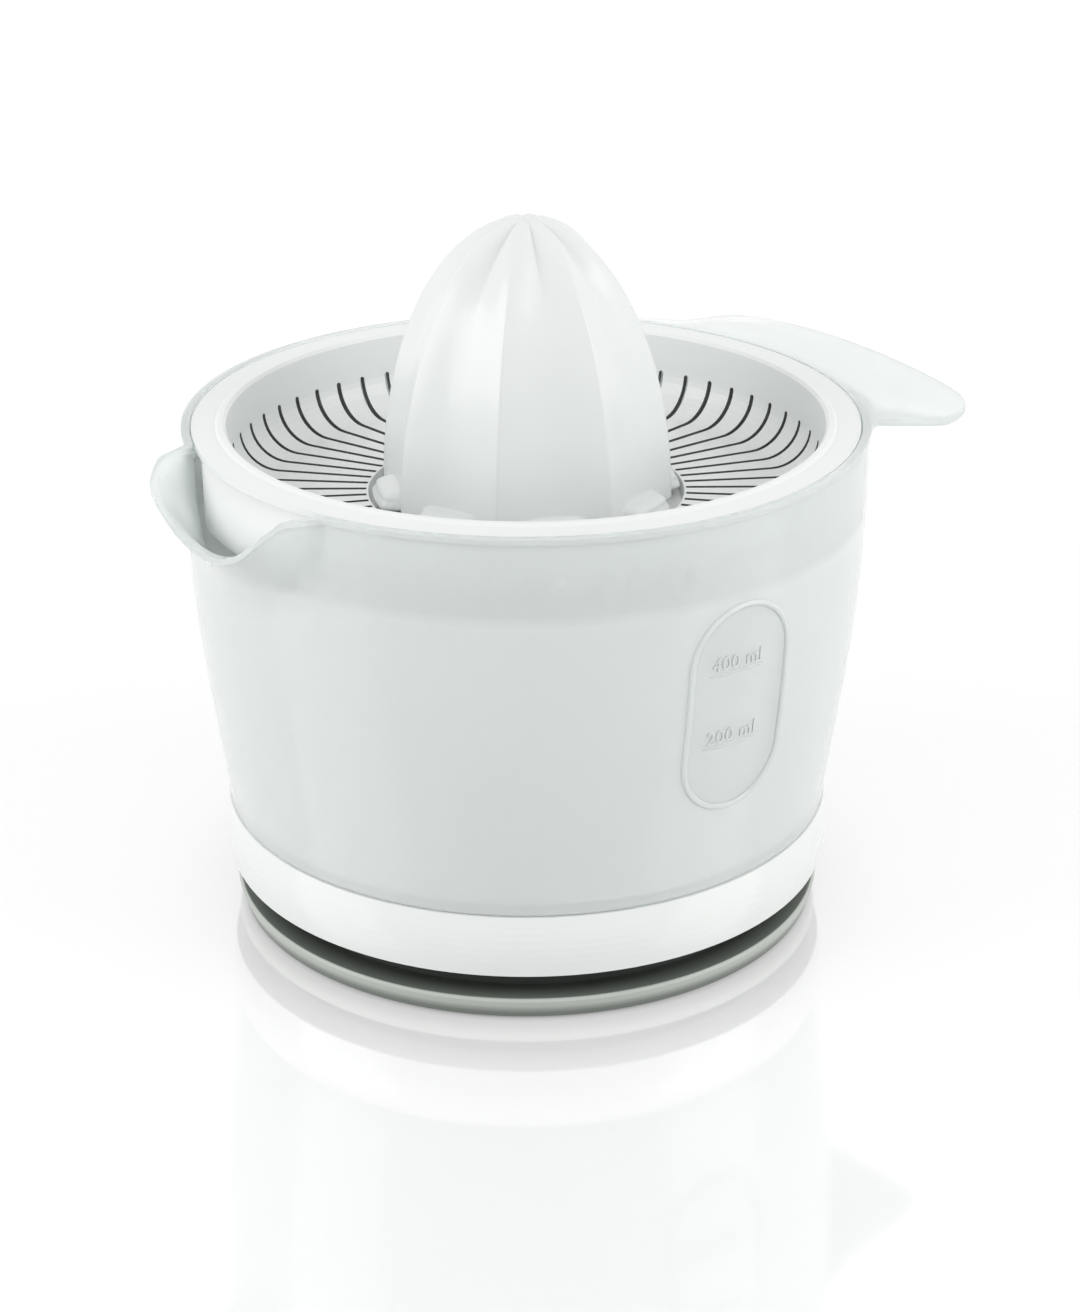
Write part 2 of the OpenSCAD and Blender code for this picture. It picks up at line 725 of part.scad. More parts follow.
module output_gear() {
    color("ivory") difference() {
        union() {
            translate([0, 0, output_z]) gear(teeth_output, module_2, output_t, axle_angle);
            rod(journal_r, hub_low, gear_floor + washer_t + 0.2);
            rod(hub_low_r, gear_floor + washer_t + 0.1, output_z + 1);
            rod(pocket_r + pocket_wall, output_z, hub_top);
        }
        hex_bar(tail_hex + 4 * run, hub_low - 1, output_z + 1);
        rod(pocket_r, spring_seat, hub_top + 1);
        for (k = [0:5]) rotate([0, 0, 60 * k]) translate([output_hole_place, 0, 0])
            rod(output_hole_r, output_z - 1, output_z + output_t + 1);
    }
}

module output_bush() {
    color("goldenrod") {
        ring(turret_bore - seat, spindle_r + run, turret_foot - 0.1, seal_z - 0.2);
        ring(turret_r - 0.5, spindle_r + run, turret_foot - bush_flange_t, turret_foot - seat);
    }
}

module shaft_seal() {
    color("dimgray") rotate_extrude() polygon([
        [spindle_r + run, seal_z], [turret_bore - seat, seal_z],
        [turret_bore - seat, turret_top + seat], [turret_r - 0.4, turret_top + seat],
        [turret_r - 0.4, turret_top + 0.8], [spindle_r + 1, turret_top + 1.1],
        [spindle_r + run, turret_top + 0.4]]);
}

// ---------- spindle and switch ----------

module drive_spindle() {
    color("silver") difference() {
        union() {
            hex_bar(tail_hex, tail_low, spindle_low + 1);
            rod(spindle_r, spindle_low, shoulder_top);
            hex_bar(top_hex, shoulder_top - 1, socket_top - nose_h - 1.2);
            translate([0, 0, socket_top - nose_h - 1.2])
                cylinder(r1 = top_hex / 2, r2 = top_hex / 3, h = nose_h);
        }
        ring(tail_hex, clip_groove_r, clip_z - seat, clip_z + clip_t + seat);
    }
}

module spindle_clip() {
    color("gray") difference() {
        ring(clip_groove_r + clip_w, clip_groove_r + seat, clip_z, clip_z + clip_t);
        translate([0, -clip_mouth / 2, clip_z - 1])
            cube([clip_groove_r + clip_w + 1, clip_mouth, clip_t + 2]);
    }
}

module return_spring() {
    low = spring_seat + spring_wire_r + seat;
    high = spindle_low - spring_wire_r - seat;
    // The end turns lie nearly flat and the turns between them rise evenly
    color("silver") tube([for (i = [0:spring_turns * spring_steps]) let (t = i / spring_steps / spring_turns)
        [spring_r * cos(360 * spring_turns * t), spring_r * sin(360 * spring_turns * t),
            mix(low, high, ease((t - 0.12) / 0.76) * 0.9 + 0.1 * t)]], spring_wire_r, 6);
}

module switch_body() {
    color("dimgray") difference() {
        union() {
            translate([switch_front, -switch_w / 2, switch_low]) cube([switch_l, switch_w, switch_h]);
            for (x = tag_places) translate([x - tag_size[0] / 2, -switch_w / 2 - tag_size[1], tag_z])
                cube(tag_size + [0, 0.5, 0]);
        }
        rod(plunger_r + run * 2, plunger_low - press_travel - 0.6, switch_top + 1);
        for (x = switch_holes) translate([x, -switch_w, switch_hole_z])
            rotate([-90, 0, 0]) cylinder(r = switch_screw_r + free, h = switch_w * 2);
    }
}

module switch_plunger() {
    color("firebrick") union() {
        rod(plunger_r, plunger_low, plunger_top - 0.6);
        translate([0, 0, plunger_top - 0.6]) cylinder(r1 = plunger_r, r2 = plunger_r - 0.5, h = 0.6);
    }
}

module switch_screws() {
    head_h = 1.2;
    color("gray") for (x = switch_holes)
        translate([x, -switch_w / 2 - seat, switch_hole_z]) rotate([-90, 0, 0]) {
            cylinder(r = switch_screw_r, h = switch_w + rib_t);
            translate([0, 0, -head_h]) cylinder(r = switch_screw_r + 1, h = head_h);
        }
}

// Points along a cubic curve with the control points p
function curve(p, n = 14) = [for (i = [0:n]) let (t = i / n, u = 1 - t)
    u * u * u * p[0] + 3 * u * u * t * p[1] + 3 * u * t * t * p[2] + t * t * t * p[3]];

module lead_wires() {
    block_z = plate_top + block_size[2] + 0.5;
    flange_half = leg_pitch / 2 + leg_w / 2 + bobbin_t + winding_t;
    flange_top = stack_top + bobbin_t + winding_t + 0.4;
    tag_y = -switch_w / 2 - tag_size[1] + 1.1;
    solder_z = tag_z + tag_size[2] + wire_r + seat;
    first_x = coil_start + bobbin_t / 2;
    last_x = coil_end - bobbin_t / 2;
    // Block to switch, switch to one coil, coil to coil, and the other coil back to the block
    color("lightsteelblue") {
        tube(curve([[4, block_y + 4.5, block_z], [10, block_y + 8, 60], [30, -36, 62],
            [tag_places[2], tag_y, solder_z]]), wire_r);
        tube(curve([[tag_places[0], tag_y, solder_z], [tag_places[0], tag_y - 4, solder_z + 3],
            [first_x, -leg_pitch / 2, flange_top + 5], [first_x, -leg_pitch / 2, flange_top]]), wire_r);
        tube(curve([[last_x, -10, flange_top], [last_x, -10, flange_top + 5], [last_x, 10, flange_top + 5],
            [last_x, 10, flange_top]]), wire_r);
        tube(curve([[first_x, flange_half + 0.3, stack_top], [first_x, block_y - 4, stack_top],
            [-4, block_y + 4.5, stack_top - 4], [-4, block_y + 4.5, block_z]]), wire_r);
    }
}

// ---------- jug ----------

// Outer radius of the plain jug wall at height z
function wall_r(z) = let (t = (z - ledge_z) / jug_h)
    jug_foot_r + (jug_rim_r - jug_foot_r) * pow(sin(90 * max(0, min(1, jug_swell * t))), 1.15);

// Angle a brought into -180 to 180
function wrap(a) = a - 360 * round(a / 360);

// Spout: how far the lip stands past the rim, how far it dips, and where the wall starts to swell
function from_spout(a) = abs(wrap(a - 180));
function spout_out(a) = let (d = from_spout(a)) d >= spout_half ? 0 :
    ((jug_rim_r + spout_reach) / cos(d) - jug_rim_r) * ease((spout_half - d) / (spout_half * 0.41));
function spout_low(a) = let (d = from_spout(a) / (spout_half * 0.775))
    d >= 1 ? 0 : spout_dip * (1 - pow(d, 2.2));
function lip_z(a) = rim_z - spout_low(a);
function spout_start(a) =
    rim_z - 4 - (spout_depth - 4) * sqrt(max(0, 1 - pow(from_spout(a) / spout_half, 2)));
function swell(a, z) = spout_out(a) <= 0 ? 0 :
    let (share = max(0, min(1, (z - spout_start(a)) / (lip_z(a) - spout_start(a)))))
    spout_out(a) * pow(ease(0.5 * share) * 2, 1.2);

// Handle: radius of its edge, rounded at the corners and filleted into the rim
function handle_line(a) = let (d = abs(wrap(a)))
    d > 75 ? 0 : pow(pow(cos(d) / handle_end, 12) + pow(sin(d) / handle_half, 12), -1 / 12);
function edge_r(a) = let (e = handle_line(a), b = jug_rim_r + rim_bead)
    e <= 0 ? b : b * pow(1 + pow(e / b, 24), 1 / 24);
function edge_drop(a) =
    let (e = edge_r(a), y = e * sin(wrap(a)), share = min(1, (e - jug_rim_r) / (handle_end - jug_rim_r)))
    share * (handle_drop + handle_crown * pow(y / handle_half, 2));

// Share of the way that the rim at angle a has turned from a plain ledge into the open spout
function opened(a) = ease((spout_half - from_spout(a)) / 5);

// One upright slice of the jug's upper wall: up the outside, around the edge, down the inside
function rim_slice(a) =
    let (
        top = lip_z(a),
        grip = edge_r(a) - jug_rim_r - rim_bead > 0.5 ? min(1, (edge_r(a) - jug_rim_r - rim_bead) / 6) : 0,
        under = top - mix(rim_edge, handle_t, grip),
        wall_top = under - mix(0.3, 3, grip),
        rim = jug_rim_r + spout_out(a),
        edge = edge_r(a) + spout_out(a),
        drop = edge_drop(a),
        open = opened(a),
        inner = rim - jug_wall
    )
    concat(
        [[wall_r(cut_z) - seam_step, cut_z - 2 * seam_step]],
        [for (i = [1:6]) let (z = mix(cut_z, wall_top, i / 6)) [wall_r(z) + swell(a, z), z]],
        [[mix(rim, edge, 0.12), under - 0.12 * drop - 0.8 * grip],
            [mix(rim, edge, 0.5), under - 0.5 * drop],
            [edge - 0.2, under - drop],
            [edge, mix(under, top, 0.5) - drop],
            [edge - 0.35, top - drop],
            [mix(rim, edge, 0.5), top - 0.5 * drop],
            [rim - 0.2, top],
            [inner + 0.05, top]],
        [[inner, top - mix(flange_t + lift_gap, 0.6, open)],
            [mix(rim - ledge_in, inner, open) - 0.01, top - mix(flange_t + lift_gap + 0.01, 1.2, open)]],
        [for (i = [5:-1:1]) let (z = mix(cut_z, top - mix(flange_t + lift_gap + 2, 1.8, open), i / 5))
            [wall_r(z) + swell(a, z) - jug_wall, z]],
        [[wall_r(cut_z) - jug_wall + seam_step, cut_z - 2 * seam_step]]);

module jug_rim() {
    // The slices stand close together at the handle and the spout
    angles = concat([for (a = [-50:2:50]) a], [for (a = [55:5:150]) a],
        [for (a = [180 - spout_half - 2:1.6:180 + spout_half + 2]) a], [for (a = [210:5:305]) a]);
    slices = [for (a = angles) [for (p = rim_slice(a)) [p[0] * cos(a), p[0] * sin(a), p[1]]]];
    n = len(slices[0]);
    m = len(slices);
    polyhedron(
        points = [for (s = slices, p = s) p],
        faces = [for (j = [0:m - 1], i = [0:n - 1])
            let (k = (i + 1) % n, next = ((j + 1) % m) * n)
            let (p = j * n + i, q = j * n + k, r = next + i, s = next + k)
            each [[p, q, r], [q, s, r]]]);
}

// Stadium outline of the level window, grown by g
module window_shape(g) {
    r = window_w / 2 + g;
    straight = window_h - window_w;
    union() {
        translate([-r, -straight / 2]) square([2 * r, straight]);
        for (s = [-1, 1]) translate([0, s * straight / 2]) circle(r = r);
    }
}

// Points up the jug's wall from z0 to z1, moved outwards by g
function wall_line(g, z0, z1) =
    [for (i = [0:wall_steps]) let (z = mix(z0, z1, i / wall_steps)) [wall_r(z) + g, z]];

module jug() {
    chimney_out = chimney_gap + jug_wall;
    chimney_top = dome_top + chimney_out;
    color("white", 0.55) union() {
        rotate_extrude() polygon(concat(
            [[dome_r + chimney_gap, jug_low]],
            wall_line(0, jug_low, cut_z),
            [for (i = [wall_steps:-1:0]) wall_line(-jug_wall, jug_low + jug_floor_t, cut_z)[i]],
            [[dome_r + chimney_out, jug_low + jug_floor_t]],
            arc(dome_flat_r, shoulder_z, shoulder_r + chimney_out, 0, 90, 12),
            [[collar_r + jug_wall, chimney_top], [collar_r + jug_wall, chimney_top + collar_h],
                [collar_r, chimney_top + collar_h], [collar_r, dome_top + chimney_gap]],
            [for (i = [12:-1:0]) arc(dome_flat_r, shoulder_z, shoulder_r + chimney_gap, 0, 90, 12)[i]]));
        jug_rim();
        intersection() {
            rotate_extrude() polygon(concat(wall_line(bead_proud, jug_low, skirt_low),
                [for (i = [wall_steps:-1:0]) wall_line(-jug_wall / 2, jug_low, skirt_low)[i]]));
            translate([0, 0, window_z]) rotate([90, 0, 0]) linear_extrude(jug_rim_r + 5) difference() {
                window_shape(0);
                window_shape(-bead_w);
            }
        }
    }
}

// ---------- sieve ----------

module sieve() {
    bend_r = sieve_r - sieve_fillet;
    slot_top = sieve_floor + slot_rise - slot_w / 2;
    cut_low = recess_z - 4;
    bead = 0.3;
    color("whitesmoke") difference() {
        rotate_extrude() polygon(concat(
            [[hub_collar_r, recess_z - sieve_wall], [drip_r, recess_z - sieve_wall], [drip_r, drip_low],
                [drip_r + sieve_wall, drip_low], [drip_r + sieve_wall, recess_z - sieve_wall],
                [recess_r, recess_z - sieve_wall], [recess_r + 1, sieve_floor - sieve_wall]],
            arc(bend_r, sieve_floor + sieve_fillet, sieve_fillet + sieve_wall, -90, 0, 10),
            [[sieve_r + sieve_wall, rim_z - flange_t], [skirt_r - sieve_wall, rim_z - flange_t],
                [skirt_r - sieve_wall, skirt_low], [skirt_r, skirt_low], [skirt_r, rim_z - flange_t],
                [rim_inner - free, rim_z - flange_t], [rim_inner - free, rim_z - bead],
                [sieve_r + 2.6, rim_z - bead], [sieve_r + 1.9, rim_z + bead],
                [sieve_r + 0.7, rim_z + bead], [sieve_r, rim_z - bead - 0.1]],
            [for (i = [10:-1:0]) arc(bend_r, sieve_floor + sieve_fillet, sieve_fillet, -90, 0, 10)[i]],
            [[recess_r + 0.4, sieve_floor], [recess_r - 0.4, recess_z],
                [hub_collar_r + sieve_wall, recess_z],
                [hub_collar_r + sieve_wall, recess_z + hub_rise - 0.4],
                [hub_collar_r, recess_z + hub_rise]]));
        for (k = [0:slot_count - 1]) rotate([0, 0, 360 * k / slot_count]) {
            translate([0, 0, cut_low]) linear_extrude(slot_top - cut_low) union() {
                translate([slot_in_r + slot_w / 2, -slot_w / 2])
                    square([sieve_r + sieve_wall - slot_in_r + 0.3, slot_w]);
                translate([slot_in_r + slot_w / 2, 0]) circle(r = slot_w / 2, $fn = 24);
            }
            translate([bend_r, 0, slot_top]) rotate([0, 90, 0])
                cylinder(r = slot_w / 2, h = sieve_fillet + sieve_wall + 0.8, $fn = 24);
        }
    }
}

// ---------- cone ----------

// How far from a rib to the middle of a flute the angle a is: 0 on a rib and 1 in the middle of a flute
function across(a) = abs(sin(rib_count * (a - rib_turn) / 2));

// Shape of a flute: sharp ribs and round flutes below, round lobes and narrow grooves near the top
function flute_shape(a, s) = let (k = across(a)) mix(k, 1 - sqrt(1 - k * k), ease((s - 0.45) / 0.4));

// Share of the radius that the middle of a flute is cut back by; the flutes deepen towards the top
function flute_depth(s) = flute * (1 + 1.2 * ease((s - 0.4) / 0.5));

// Radius of the cone at angle a and share s of the way up its side
function cone_rad(a, s) = let (
        rib = cone_r * cos(90 * s),
        z = cone_h * sin(90 * s),
        side = rib * (1 - flute_depth(s) * flute_shape(a, s)),
        crown = z < petal_h ? 0.5 + 0.5 * sqrt(1 - pow(z / petal_h, 2)) : 0,
        petal = petal_r * crown * (0.86 + 0.14 * ease((across(a) - 0.35) / 0.45))
    ) max(side, petal);

module cone() {
    // Rows stand close together over the petals, and evenly from there to the tip
    foot = asin(petal_h / cone_h) / 90;
    upper_rows = cone_rows - 6;
    steps = concat([for (i = [0:5]) foot * i / 5], [for (i = [1:upper_rows]) mix(foot, 0.985, i / upper_rows)]);
    rows = [for (s = steps) [for (i = [0:cone_cols - 1]) let (a = 360 * i / cone_cols, r = cone_rad(a, s))
        [r * cos(a), r * sin(a), cone_low + cone_h * sin(90 * s)]]];
    cavity_top = socket_top - 5;
    color("whitesmoke") difference() {
        skin(rows);
        difference() {
            rotate_extrude() polygon(concat([[0, cone_low - 1]],
                [for (i = [0:10])
                    let (z = mix(cone_low - 1, cavity_top, i / 10), u = max(0, (z - cone_low) / cone_h))
                    [cone_r * sqrt(1 - u * u) * (1 - flute_depth(asin(u) / 90)) - cone_wall, z]],
                [[0, cavity_top]]));
            rod(socket_boss_r, shoulder_top + 0.2, cavity_top + 1);
            for (k = [0:3]) rotate([0, 0, 90 * k + 45])
                translate([0, -web_t / 2, shoulder_top + 4]) cube([cone_r, web_t, cone_h]);
        }
        hex_bar(top_hex + 0.3, shoulder_top - 1, socket_top);
    }
}

base_housing();
base_plate();
rubber_feet();
base_screws();
cord_gland();
terminal_block();
lead_wires();
gear_plate();
gear_plate_screws();
stator_core();
coil_bobbins();
coil_windings();
motor_bracket();
motor_screws();
motor_bushes();
rotor_magnet();
motor_shaft();
motor_pinion();
intermediate_gear();
gear_axle();
thrust_washers();
output_gear();
output_bush();
shaft_seal();
drive_spindle();
return_spring();
spindle_clip();
switch_body();
switch_plunger();
switch_screws();
jug();
sieve();
cone();
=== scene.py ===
"""Electric citrus press: the looks of its frosted pouring jug, slotted sieve, ribbed cone and motor base.

Sizes are in millimetres and angles in degrees. Sizes become metres when a mesh or a material is made from
them, and values whose names end in _M are metres already, as are the places of camera and lamps.
+Z is up along the pressing axis, +X points to the handle, -X to the spout and -Y to the level window.
"""

import json

import bmesh
import bpy
import numpy as np
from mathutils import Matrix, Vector


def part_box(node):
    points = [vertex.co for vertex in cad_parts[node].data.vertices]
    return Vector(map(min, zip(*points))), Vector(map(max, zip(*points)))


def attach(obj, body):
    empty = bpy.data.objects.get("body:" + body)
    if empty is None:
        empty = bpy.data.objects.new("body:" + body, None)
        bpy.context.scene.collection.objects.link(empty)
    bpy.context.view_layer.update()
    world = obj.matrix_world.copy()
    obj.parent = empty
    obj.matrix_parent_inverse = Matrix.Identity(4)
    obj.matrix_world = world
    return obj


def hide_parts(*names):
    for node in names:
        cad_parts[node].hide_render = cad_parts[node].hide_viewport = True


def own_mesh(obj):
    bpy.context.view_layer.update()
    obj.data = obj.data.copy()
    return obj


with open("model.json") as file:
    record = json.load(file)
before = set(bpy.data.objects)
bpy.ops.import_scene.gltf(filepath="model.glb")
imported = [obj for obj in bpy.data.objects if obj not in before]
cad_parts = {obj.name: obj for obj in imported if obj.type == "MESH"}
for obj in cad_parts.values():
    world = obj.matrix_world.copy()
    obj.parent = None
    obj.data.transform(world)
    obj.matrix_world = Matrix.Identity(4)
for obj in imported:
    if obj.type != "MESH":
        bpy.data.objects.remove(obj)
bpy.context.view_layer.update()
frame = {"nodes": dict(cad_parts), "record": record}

MM = 0.001


def box_mm(node):
    """Lowest and highest corner of a CAD node, in millimetres."""
    low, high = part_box(node)
    return np.array(low) / MM, np.array(high) / MM


# ---------- dimensions ----------

JUG_BOX, CONE_BOX, HOUSING_BOX, SPRING_BOX = (
    box_mm(node) for node in ("jug", "cone", "base_housing", "return_spring"))

# Jug: the wall's curve starts a little below the foot, and reaches the rim's radius at a share of the height
JUG_FOOT_Z = JUG_BOX[0][2]
RIM_Z = JUG_BOX[1][2]
FOOT_R = 74.0
RIM_R = 81.4
WALL = 1.8
WALL_START = 0.1
WALL_RISE = 0.8
WALL_CURVE = 1.15
WALL_ROWS_OUT = 60
WALL_ROWS_IN = 40
COLUMN_ARCS = ((-52, 52, 1.0), (52, 156, 2.0), (156, 204, 0.8), (204, 308, 2.0))

# Jug's rim: a bead outside, and inside a ledge that carries the sieve's flange and runs out at the spout
RIM_BEAD = 0.3
RIM_EDGE = 1.5
LEDGE_IN = 1.7
LEDGE_DEPTH = 2.0
LEDGE_FOOT = 4.0
LEDGE_SLOPE = 0.02
LEDGE_LEAST = 0.01
LIP_DEPTH = 0.6
LIP_FOOT = 1.8
EDGE_LEAN = 0.1
CROWN_IN = 0.4

# Corner rounds of the jug's section
FOOT_ROUND = 0.8
OUTER_ROUND = 0.5
TOP_ROUND = 0.6
FINE_ROUND = 0.3
MOUTH_ROUND = 0.4
FLOOR_ROUND = 3.0
CHIMNEY_ROUND = 2.0
COLLAR_ROUND = 1.2

# Spout: a straight lip over an angle to both sides, a dip in its edge, and a channel below an arch
SPOUT_REACH = 8.4
SPOUT_HALF = 22.0
SPOUT_EASE = 0.41 * SPOUT_HALF
SPOUT_OPEN = 5.0
LIP_LIMIT = 60.0
DIP = 13.9
DIP_HALF = 0.775 * SPOUT_HALF
DIP_CURVE = 2.2
CHANNEL_H = 31.0
ARCH_TOP = 4.0
CHANNEL_CURVE = 1.2

# Handle: a flat tongue whose edge is a rounded rectangle, lower and more crowned towards its corners
HANDLE_END = JUG_BOX[1][0]
HANDLE_HALF = 50.5
HANDLE_T = 2.2
HANDLE_DROP = 1.65
HANDLE_CROWN = 4.6
HANDLE_ARC = 75.0
HANDLE_SQUARE = 12
HANDLE_BLEND = 24
GRIP_EASE = 6.0
GRIP_FILLET = 3.0
GRIP_UNDERCUT = 0.8
GRIP_ROOT = 0.12

# Jug's floor, and the chimney in it around the motor dome, with a shoulder and a collar round the spindle
FLOOR_T = 2.0
CHIMNEY_IN = 61.0
CHIMNEY_LEAN = 2.0
CHIMNEY_GAP = 1.0
SHOULDER_R = 18.0
SHOULDER_Z = 68.0
SHOULDER_ROWS = 13
COLLAR_R = 12.2
COLLAR_TOP = 95.2

# Level window in the jug's wall, with its bead, lines and numbers
WINDOW_Z = 76.2
WINDOW_W = 29.0
WINDOW_H = 52.5
BEAD_W = 1.6
BEAD_PROUD = 0.6
BEAD_STEPS = 200
BEAD_SIDES = 12
MARKS = ((86.0, "400 ml"), (67.5, "200 ml"))
MARK_LEFT = -1.6
MARK_HALF = 7.6
MARK_THICK = 0.28
MARK_SQUARE = 8
MARK_END = 0.02
MARK_ROWS = 33
MARK_SIDES = 10
MARK_PROUD = 0.25
TEXT_H = 3.4
FONT_PER_HEIGHT = 1.4
LETTER_SPACE = 1.08
TEXT_OVER_LINE = 1.0

# Cone: ribs and flutes, which turn into lobes and grooves over the last part of the way up
CONE_LOW = CONE_BOX[0][2]
CONE_H = CONE_BOX[1][2] - CONE_BOX[0][2]
CONE_R = 35.2
CONE_WALL = 2.0
RIBS = 8
RIB_TURN = -2.5
FLUTE = 0.12
FLUTE_GROWTH = 1.7
GROWTH_OVER = 0.5
LOBES_FROM = 0.45
LOBES_OVER = 0.4
TIP_DIP = 1.4
TIP_R = 4.5
TIP_FROM = 0.9
RIB_COLUMNS = 48
PETAL_ROWS = 16
PETAL_CROWD = 0.8
SIDE_ROWS = 110
SIDE_CROWD = 0.85
LAST_ROW = 0.9985
HOLLOW_ROWS = 30

# Petals at the cone's foot: each swells over the sieve's floor between two heights above the foot
PETAL_R = 37.1
PETAL_H = 5.6
PETAL_STAYS = 0.5
PETAL_VALLEY = 0.86
PETAL_SIDE = 0.35
PETAL_SIDE_OVER = 0.45
PETAL_OVER = 1.3
OVER_LOW = 1.7
OVER_RISE = 1.3
OVER_HIGH = 3.2
OVER_FALL = 2.4

# Drive socket and webs under the cone
SOCKET_LOW = 111.0
SOCKET_ROOF = 146.8
SOCKET_TOP_T = 1.0
SOCKET_BOSS_R = 8.0
SOCKET_FLATS = 9.3
SOCKET_CHAMFER = 0.5
SOCKET_MOUTH = 0.6
SOCKET_STEP = 2.5
WEBS = 4
WEB_T = 1.6
WEB_LOW = 114.8
WEB_ROWS = 24
WEB_CROWD = 1.2
WEB_EDGE = 0.3
WEB_INTO_WALL = 0.4
WEB_INTO_BOSS = 0.6

# Sieve: its skirt and flange, the apron across the spout and the juice slots
SKIRT_R = 77.6
SKIRT_LOW = 113.0
FLANGE_R = 79.2
APRON_HALF = 24.0
APRON_LOW = 105.0
APRON_TOP = 121.9
APRON_T = 0.6
APRON_LAP = 0.1
APRON_FLUSH = 4.5
APRON_BLEND = 3.5
APRON_RISE = 9.0
APRON_EDGE_H = 0.5
APRON_EDGE_W = 0.3
APRON_COLUMNS = 97
SLOTS = 60
SLOT_W = 1.2
SLOT_IN_R = 38.4
SLOT_TOP = 113.4
# How far the painted shade of the slots reaches past a slot's wall onto the surfaces beside it
SLOT_SPARE = 0.06

# Return spring
SPRING_TURNS = 5
SPRING_WIRE_R = 0.4
SPRING_FLAT = 0.12
SPRING_CREEP = 0.1
TURN_STEPS = 24
WIRE_STEP = 36

# Base plate
PLATE_R = HOUSING_BOX[1][0] - 2.3
PLATE_TOP = 5.7
# Where the groove on the plate's top is painted in shade, and how that painted shade blends into the side
GROOVE_EDGE = 1.0
GROOVE_BLEND = 0.6
GROOVE_DEPTH = 6.0


# ---------- mesh making ----------

MERGE_M = 1e-8
TINY = 1e-9
NEAR_HALF = 0.45


def new_mesh(name, points, quads):
    """A smooth mesh object at the origin from points in millimetres and faces; points that lie in one
    place, as at a pole, are joined."""
    mesh = bpy.data.meshes.new(name)
    mesh.from_pydata((points * MM).tolist(), [], quads.tolist())
    joined = bmesh.new()
    joined.from_mesh(mesh)
    bmesh.ops.remove_doubles(joined, verts=joined.verts, dist=MERGE_M)
    joined.to_mesh(mesh)
    joined.free()
    mesh.shade_smooth()
    piece = bpy.data.objects.new(name, mesh)
    bpy.context.collection.objects.link(piece)
    return piece


def grid_faces(rows, columns, close_rows, close_columns):
    """Quads between neighbouring rows and columns of a grid whose points are numbered row by row."""
    j, i = np.meshgrid(np.arange(rows if close_rows else rows - 1),
                       np.arange(columns if close_columns else columns - 1), indexing="ij")
    up = (j + 1) % rows
    right = (i + 1) % columns
    corners = (j * columns + i, j * columns + right, up * columns + right, up * columns + i)
    return np.stack(corners, -1).reshape(-1, 4)


def grid_piece(name, points, close_rows=False, close_columns=True):
    """A surface through a grid of points with the shape (rows, columns, 3)."""
    rows, columns = points.shape[:2]
    return new_mesh(name, points.reshape(-1, 3), grid_faces(rows, columns, close_rows, close_columns))


def ease(t):
    """Smooth step from 0 to 1 as t goes from 0 to 1: three times its square less twice its cube."""
    u = np.clip(t, 0, 1)
    return u * u * (3 - 2 * u)


def mix(a, b, t):
    """Part of the way from a to b, in a straight line."""
    return a + (b - a) * t


def around(radius, height, angle):
    """Points at the given radii, heights and angles in degrees, as one array."""
    radius, height, angle = np.broadcast_arrays(radius, height, np.radians(angle))
    return np.stack([radius * np.cos(angle), radius * np.sin(angle), height], -1)


def capped(loops):
    """Loops of points along a bar, with both ends closed onto their own centres."""
    first = loops[:1].mean(1, keepdims=True)
    last = loops[-1:].mean(1, keepdims=True)
    count = loops.shape[1]
    return np.concatenate([first.repeat(count, 1), loops, last.repeat(count, 1)])


def soften(line, reach, steps=5):
    """Rounds the corners of a closed section with the shape (corners, columns, 2): each corner with a
    reach becomes a quadratic curve between the points that lie that far from it on its two sides, or
    near half way at most."""
    made = []
    for k, amount in enumerate(reach):
        here = line[k]
        if amount == 0:
            made.append(here)
            continue
        sides = []
        for side in (line[k - 1] - here, line[(k + 1) % len(line)] - here):
            length = np.linalg.norm(side, axis=-1, keepdims=True)
            sides.append(side / np.maximum(length, TINY) * np.minimum(amount, NEAR_HALF * length))
        for t in np.linspace(0, 1, steps):
            made.append(here + sides[0] * (1 - t) ** 2 + sides[1] * t ** 2)
    return np.stack(made)


# ---------- jug ----------

def wall_radius(z):
    """Outer radius of the plain wall: it grows from the foot to the rim as a power of a quarter sine
    wave."""
    share = (z - JUG_FOOT_Z + WALL_START) / (RIM_Z - JUG_FOOT_Z + WALL_START)
    quarter = np.pi / 2 * np.clip(share / WALL_RISE, 0, 1)
    return FOOT_R + (RIM_R - FOOT_R) * np.sin(quarter) ** WALL_CURVE


def from_spout(angle):
    """Angle away from the middle of the spout."""
    return np.abs((angle % 360) - 180)


def spout_out(angle):
    """How far the spout carries the wall outwards: a straight lip across the spout, eased into the
    round rim."""
    off = from_spout(angle)
    lip = (RIM_R + SPOUT_REACH) / np.cos(np.radians(np.minimum(off, LIP_LIMIT))) - RIM_R
    return np.where(off < SPOUT_HALF, lip * ease((SPOUT_HALF - off) / SPOUT_EASE), 0)


def lip_height(angle):
    """Height of the edge: the rim's, less a dip at the spout whose shape is 1 less a power of the angle."""
    off = from_spout(angle) / DIP_HALF
    return RIM_Z - np.where(off < 1, DIP * (1 - np.minimum(off, 1) ** DIP_CURVE), 0)


def swell(angle, z):
    """How far the spout's channel carries the wall outwards at a height: nothing below an arch that is
    half an ellipse, all of it at the lip, and between them a power of a smooth step."""
    arch = np.sqrt(np.maximum(0, 1 - (from_spout(angle) / SPOUT_HALF) ** 2))
    start = RIM_Z - ARCH_TOP - (CHANNEL_H - ARCH_TOP) * arch
    share = np.clip((z - start) / np.maximum(lip_height(angle) - start, TINY), 0, 1)
    return spout_out(angle) * (2 * ease(0.5 * share)) ** CHANNEL_CURVE


